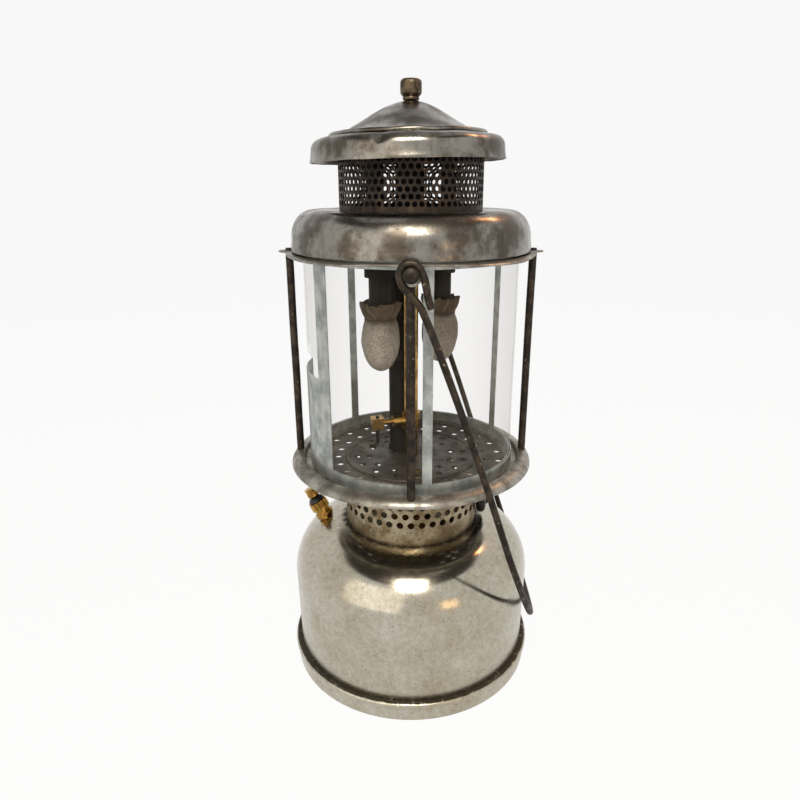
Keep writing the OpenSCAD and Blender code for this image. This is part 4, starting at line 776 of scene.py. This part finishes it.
# Gallery: the perforated drum under the cap
gallerySheet = {"hole": 2.65 * mm, "thick": 0.7 * mm}
gallerySizes = {"Radius": 37.6 * mm, "Holes Round": 68, "Rows": 7, "Row Pitch": 3.37 * mm,
    "First Row": 273.4 * mm, "Low Edge": 269.9 * mm, "High Edge": 303.9 * mm}
galleryCell = holeCell(2 * pi * gallerySizes["Radius"] / gallerySizes["Holes Round"],
    gallerySizes["Row Pitch"], gallerySheet["hole"])
gallery = bpy.data.objects.new("gallery", bpy.data.meshes.new("gallery"))
scene.collection.objects.link(gallery)
rows = gallery.modifiers.new("rows", "NODES")
rows.node_group = perforatedDrumTree()
setInputs(rows, {**gallerySizes, "Cell": galleryCell, "Finish": scaledSteel})
wallSheet = gallery.modifiers.new("sheet", "SOLIDIFY")
wallSheet.thickness = gallerySheet["thick"]
wallSheet.offset = -1
bpy.context.view_layer.update()
galleryMesh = bpy.data.meshes.new_from_object(gallery.evaluated_get(bpy.context.evaluated_depsgraph_get()))
gallery.modifiers.clear()
gallery.data = galleryMesh
galleryMesh.shade_smooth()
galleryMesh.set_sharp_from_angle(angle=radians(35))
bpy.data.objects.remove(galleryCell)
place(gallery, "ventilator", "sooty_iron", "vent_gallery")
print("gallery made:", len(galleryMesh.polygons), "faces")

# Mica: thin sheets between the uprights, a little wavy; the lighting hole is left open
micaSizes = {"radius": 57.9, "low": 132.2, "top": 248.7, "bearings": (8, 119, 219, 310), "gap": 0.3,
    "step": 1.5, "rows": 40, "hole": (264.1, 315.1, 196.5), "holeSheet": 2, "wave": 0.16}
mica = sheetMica(micaLook)
bm = bmesh.new()
uprights = micaSizes["bearings"]
low, tall, rowCount = micaSizes["low"], micaSizes["top"] - micaSizes["low"], micaSizes["rows"]
holeStart, holeEnd, holeTop = micaSizes["hole"]
for i, start in enumerate(uprights):
    end = uprights[i + 1] if i + 1 < len(uprights) else uprights[0] + 360
    across = int((end - start) / micaSizes["step"])
    grid = []
    for a in range(across + 1):
        turn = radians(start + micaSizes["gap"] + (end - start - 2 * micaSizes["gap"]) * a / across)
        column = []
        for k in range(rowCount + 1):
            reach = micaSizes["radius"] + micaSizes["wave"] * unevenness(turn, 58, low + k * 3, 24, 9)
            column.append(bm.verts.new(atBearing(reach, turn, low + tall * k / rowCount) * mm))
        grid.append(column)
    for a in range(across):
        bearing = start + (end - start) * (a + 0.5) / across
        for k in range(rowCount):
            height = low + tall * (k + 0.5) / rowCount
            if i == micaSizes["holeSheet"] and holeStart < bearing < holeEnd and height < holeTop:
                continue
            bm.faces.new((grid[a][k], grid[a + 1][k], grid[a + 1][k + 1], grid[a][k + 1]))
loose = [v for v in bm.verts if not v.link_faces]
bmesh.ops.delete(bm, geom=loose, context="VERTS")
place(makeObject("micaSheets", bm, mica, 60), "globe", "mica", "globe_mica")
print("mica made")

# Mantles: knitted bags, burnt and slack, tied over the screens with a crumpled ruffle above
mantleSizes = {"centre": (16.53, 10.53), "radius": 10.4, "tieZ": 213.6, "tieR": 7.75, "height": 29,
    "ruffle": 9, "ruffleR": 10.3, "gathers": 9, "screenR": 7.3, "screenZ": 210, "tip": 0.2, "tipTurn": 3,
    "sides": 108, "bulbRows": 40, "ruffleRows": 16, "stringR": 8.35, "stringThick": 0.4, "stringSteps": 96}
knit = mantleKnit(knitLook, mantleSizes["tieZ"])
tieZ, tieR, sides = mantleSizes["tieZ"], mantleSizes["tieR"], mantleSizes["sides"]
bulbStart = radians(mantleSizes["tipTurn"])
bulbEnd = pi - asin(tieR / mantleSizes["radius"])
bulbB = mantleSizes["height"] / (1 - cos(bulbEnd))
bulbZ = tieZ - mantleSizes["height"] + bulbB
stations = []
for i in range(mantleSizes["bulbRows"] + 1):
    s = i / mantleSizes["bulbRows"]
    a = bulbStart + (bulbEnd - bulbStart) * s
    stations.append((mantleSizes["radius"] * sin(a), bulbZ - bulbB * cos(a), 0.5 * s ** 4, 0))
for i in range(1, mantleSizes["ruffleRows"] + 1):
    s = i / mantleSizes["ruffleRows"]
    flare = tieR + (mantleSizes["ruffleR"] - tieR) * sin(s * pi / 2)
    stations.append((flare, tieZ + mantleSizes["ruffle"] * s, 0.5 + 0.7 * s, s))
for side, label in ((-1, "left"), (1, "right")):
    bm = bmesh.new()
    middleX, middleY = [side * c for c in mantleSizes["centre"]]
    rings = []
    for r, z, gather, s in stations:
        ring = []
        for k in range(sides):
            t = 2 * pi * k / sides
            swing = t + 0.5 * noise.noise(Vector((cos(t) * 1.3, sin(t) * 1.3, z / 9 + side)))
            fold = gather * sin(mantleSizes["gathers"] * swing + side)
            slack = 0.35 * noise.noise(Vector((cos(t) * 2, sin(t) * 2, z / 6 + side * 9)))
            fray = s * 1.4 * noise.noise(Vector((cos(t) * 4, sin(t) * 4, side * 3)))
            least = mantleSizes["screenR"] if z > mantleSizes["screenZ"] else mantleSizes["tip"]
            reach = max(least, r + fold + slack * min(1, r / 4))
            spot = (middleX + reach * cos(t), middleY + reach * sin(t), z + fray)
            ring.append(bm.verts.new(Vector(spot) * mm))
        rings.append(ring)
    for i in range(len(rings) - 1):
        for k in range(sides):
            j = (k + 1) % sides
            bm.faces.new((rings[i][k], rings[i][j], rings[i + 1][j], rings[i + 1][k]))
    bm.faces.new(rings[0][::-1])
    mantle = makeObject("mantleCloth" + label.title(), bm, knit, 180)
    place(mantle, "lantern", "mantle_knit", "mantle_" + label)
    # Tie: two turns of string with one end left long
    bm = bmesh.new()
    string = []
    for k in range(mantleSizes["stringSteps"] + 1):
        share = k / mantleSizes["stringSteps"]
        t = 4 * pi * share + 0.6
        string.append((middleX + mantleSizes["stringR"] * cos(t),
            middleY + mantleSizes["stringR"] * sin(t), tieZ + 0.5 * (share - 0.5)))
    last = Vector(string[-1])
    string += [last + Vector(end) for end in ((0.6, -1.2, -0.4), (1.0, -2.2, -1.6), (1.1, -2.6, -3.4))]
    sweepWire(bm, string, mantleSizes["stringThick"], 8)
    place(makeObject("mantleTie" + label.title(), bm, knit, 60), "lantern", "mantle_knit")
print("mantles made")


# CAD pieces that stay: welded and shaded smooth, with sharp edges kept
def softShadeTree():
    tree = bpy.data.node_groups.new("softShade", "GeometryNodeTree")
    tree.interface.new_socket("Geometry", in_out="OUTPUT", socket_type="NodeSocketGeometry")
    tree.interface.new_socket("Geometry", in_out="INPUT", socket_type="NodeSocketGeometry")
    tree.interface.new_socket("Crease Angle", in_out="INPUT", socket_type="NodeSocketFloat")
    given = addNode(tree, "NodeGroupInput").outputs
    welded = addNode(tree, "GeometryNodeMergeByDistance", {"Distance": 0.001 * mm,
        "Geometry": given["Geometry"]})
    faces = addNode(tree, "GeometryNodeSetShadeSmooth", {"Geometry": welded})
    angle = addNode(tree, "GeometryNodeInputMeshEdgeAngle")
    soft = addNode(tree, "FunctionNodeCompare", {0: angle.outputs["Unsigned Angle"],
        1: given["Crease Angle"]}, data_type="FLOAT", operation="LESS_THAN")
    edges = addNode(tree, "GeometryNodeSetShadeSmooth", {"Geometry": faces, "Shade Smooth": soft},
        domain="EDGE")
    addNode(tree, "NodeGroupOutput", {0: edges})
    return tree


softShade = softShadeTree()
keptCrease = radians(32)
keptPieces = [
    (turnedBrass, ["filler_neck", "filler_cap", "air_screw", "fount_boss", "valve_body", "pickup_tube",
        "packing_nut", "generator", "generator_nut", "gas_jet", "cleaner_block", "cleaner_stem"]),
    (blackMoulding, ["filler_gasket", "filler_plug", "valve_wheel"]),
    (rustyWire, ["valve_stem", "wheel_screw", "cleaning_needle", "stud", "stud_nut"]),
    (wornCollar, ["collar", "collar_base"]),
    (ashyPlate, ["burner_plate"]),
    (tinnedSheet, ["globe_bottom_ring", "globe_top_ring", "globe_strips", "globe_panel"]),
    (sootyIron, ["air_tube", "manifold", "burner_tube_left", "burner_tube_right", "burner_screen_left",
        "burner_screen_right", "cleaner_lever", "vent_spider"]),
]
for finish, names in keptPieces:
    for name in names:
        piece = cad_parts[name]
        for materialSlot in piece.material_slots:
            materialSlot.material = finish
        shading = piece.modifiers.new("softShade", "NODES")
        shading.node_group = softShade
        setInputs(shading, {"Crease Angle": keptCrease})
print("CAD pieces finished")

# Stage: pale round floor that sweeps up into a wall, white to the camera and in reflections, shadows kept
stageSizes = {"disc": 0.3, "near": 1.0, "floor": 2.4, "bend": 0.6, "tall": 3.4, "steps": 64, "bendSteps": 12}
stageLook = {"paint": "#e9e8e5", "white": 0.93}
bm = bmesh.new()
profile = [(stageSizes["disc"], 0.0), (stageSizes["near"], 0.0)]
bend = stageSizes["bend"]
for i in range(stageSizes["bendSteps"] + 1):
    t = pi / 2 * i / stageSizes["bendSteps"]
    profile.append((stageSizes["floor"] + bend * sin(t), bend * (1 - cos(t))))
profile.append((stageSizes["floor"] + bend, stageSizes["tall"]))
rings = []
for i in range(stageSizes["steps"]):
    t = 2 * pi * i / stageSizes["steps"]
    rings.append([bm.verts.new((r * sin(t), -r * cos(t), z)) for r, z in profile])
joinRows(bm, rings, False)
bm.faces.new([ring[0] for ring in rings])
backdropPaint = bpy.data.materials.new("paleBackdropPaint")
backdropPaint.use_nodes = True
tree = backdropPaint.node_tree
tree.nodes.remove(tree.nodes["Principled BSDF"])
paint = addNode(tree, "ShaderNodeBsdfDiffuse", {"Color": stageLook["paint"]})
glow = addNode(tree, "ShaderNodeEmission", {"Color": (1, 1, 1, 1), "Strength": 1.0})
rays = addNode(tree, "ShaderNodeLightPath").outputs
seen = addNode(tree, mathKind, {0: rays["Is Camera Ray"], 1: rays["Is Glossy Ray"]}, operation="MAXIMUM")
seenToo = addNode(tree, mathKind, {0: seen, 1: rays["Is Transmission Ray"]}, operation="MAXIMUM")
share = addNode(tree, mathKind, {0: seenToo, 1: stageLook["white"]}, operation="MULTIPLY")
both = addNode(tree, "ShaderNodeMixShader", {0: share, 1: paint, 2: glow})
fillInputs(tree, tree.nodes["Material Output"], {"Surface": both})
backdrop = makeObject("backdrop", bm, backdropPaint, 60)

# Light: dim sky above the stage's wall, a soft box above the camera, a wide weak one at the left,
# one overhead and two small warm lamps at the right
skyLook = {"Color": "#5c564e", "Strength": 0.5}
world = bpy.data.worlds.new("studio")
world.use_nodes = True
fillInputs(world.node_tree, world.node_tree.nodes["Background"], skyLook)
scene.world = world
lampSizes = {
    "key": {"place": (0, -0.89, 1.12), "size": 0.5, "power": 15, "colour": "#fff8ee"},
    "fill": {"place": (-0.8, -1.1, 0.4), "size": 1.4, "power": 5, "colour": "#fff4e4"},
    "window": {"place": (0.7, -1.04, 0.2), "size": 0.3, "power": 0.5, "colour": "#ffd08a"},
    "bulb": {"place": (0.69, 0.48, 1.1), "size": 0.22, "power": 1.6, "colour": "#ffb070"},
    "overhead": {"place": (0.1, 0.3, 1.5), "size": 1.4, "power": 3, "colour": "#ffffff"},
}
lampAim = Vector((0, 0, 0.16))
for label, lamp in lampSizes.items():
    light = bpy.data.lights.new(label, "AREA")
    light.shape = "SQUARE"
    light.size = lamp["size"]
    light.energy = lamp["power"]
    light.color = linearColour(lamp["colour"])[:3]
    made = bpy.data.objects.new(label, light)
    made.location = lamp["place"]
    made.rotation_euler = (lampAim - Vector(lamp["place"])).to_track_quat("-Z", "Y").to_euler()
    scene.collection.objects.link(made)
print("stage and light made")
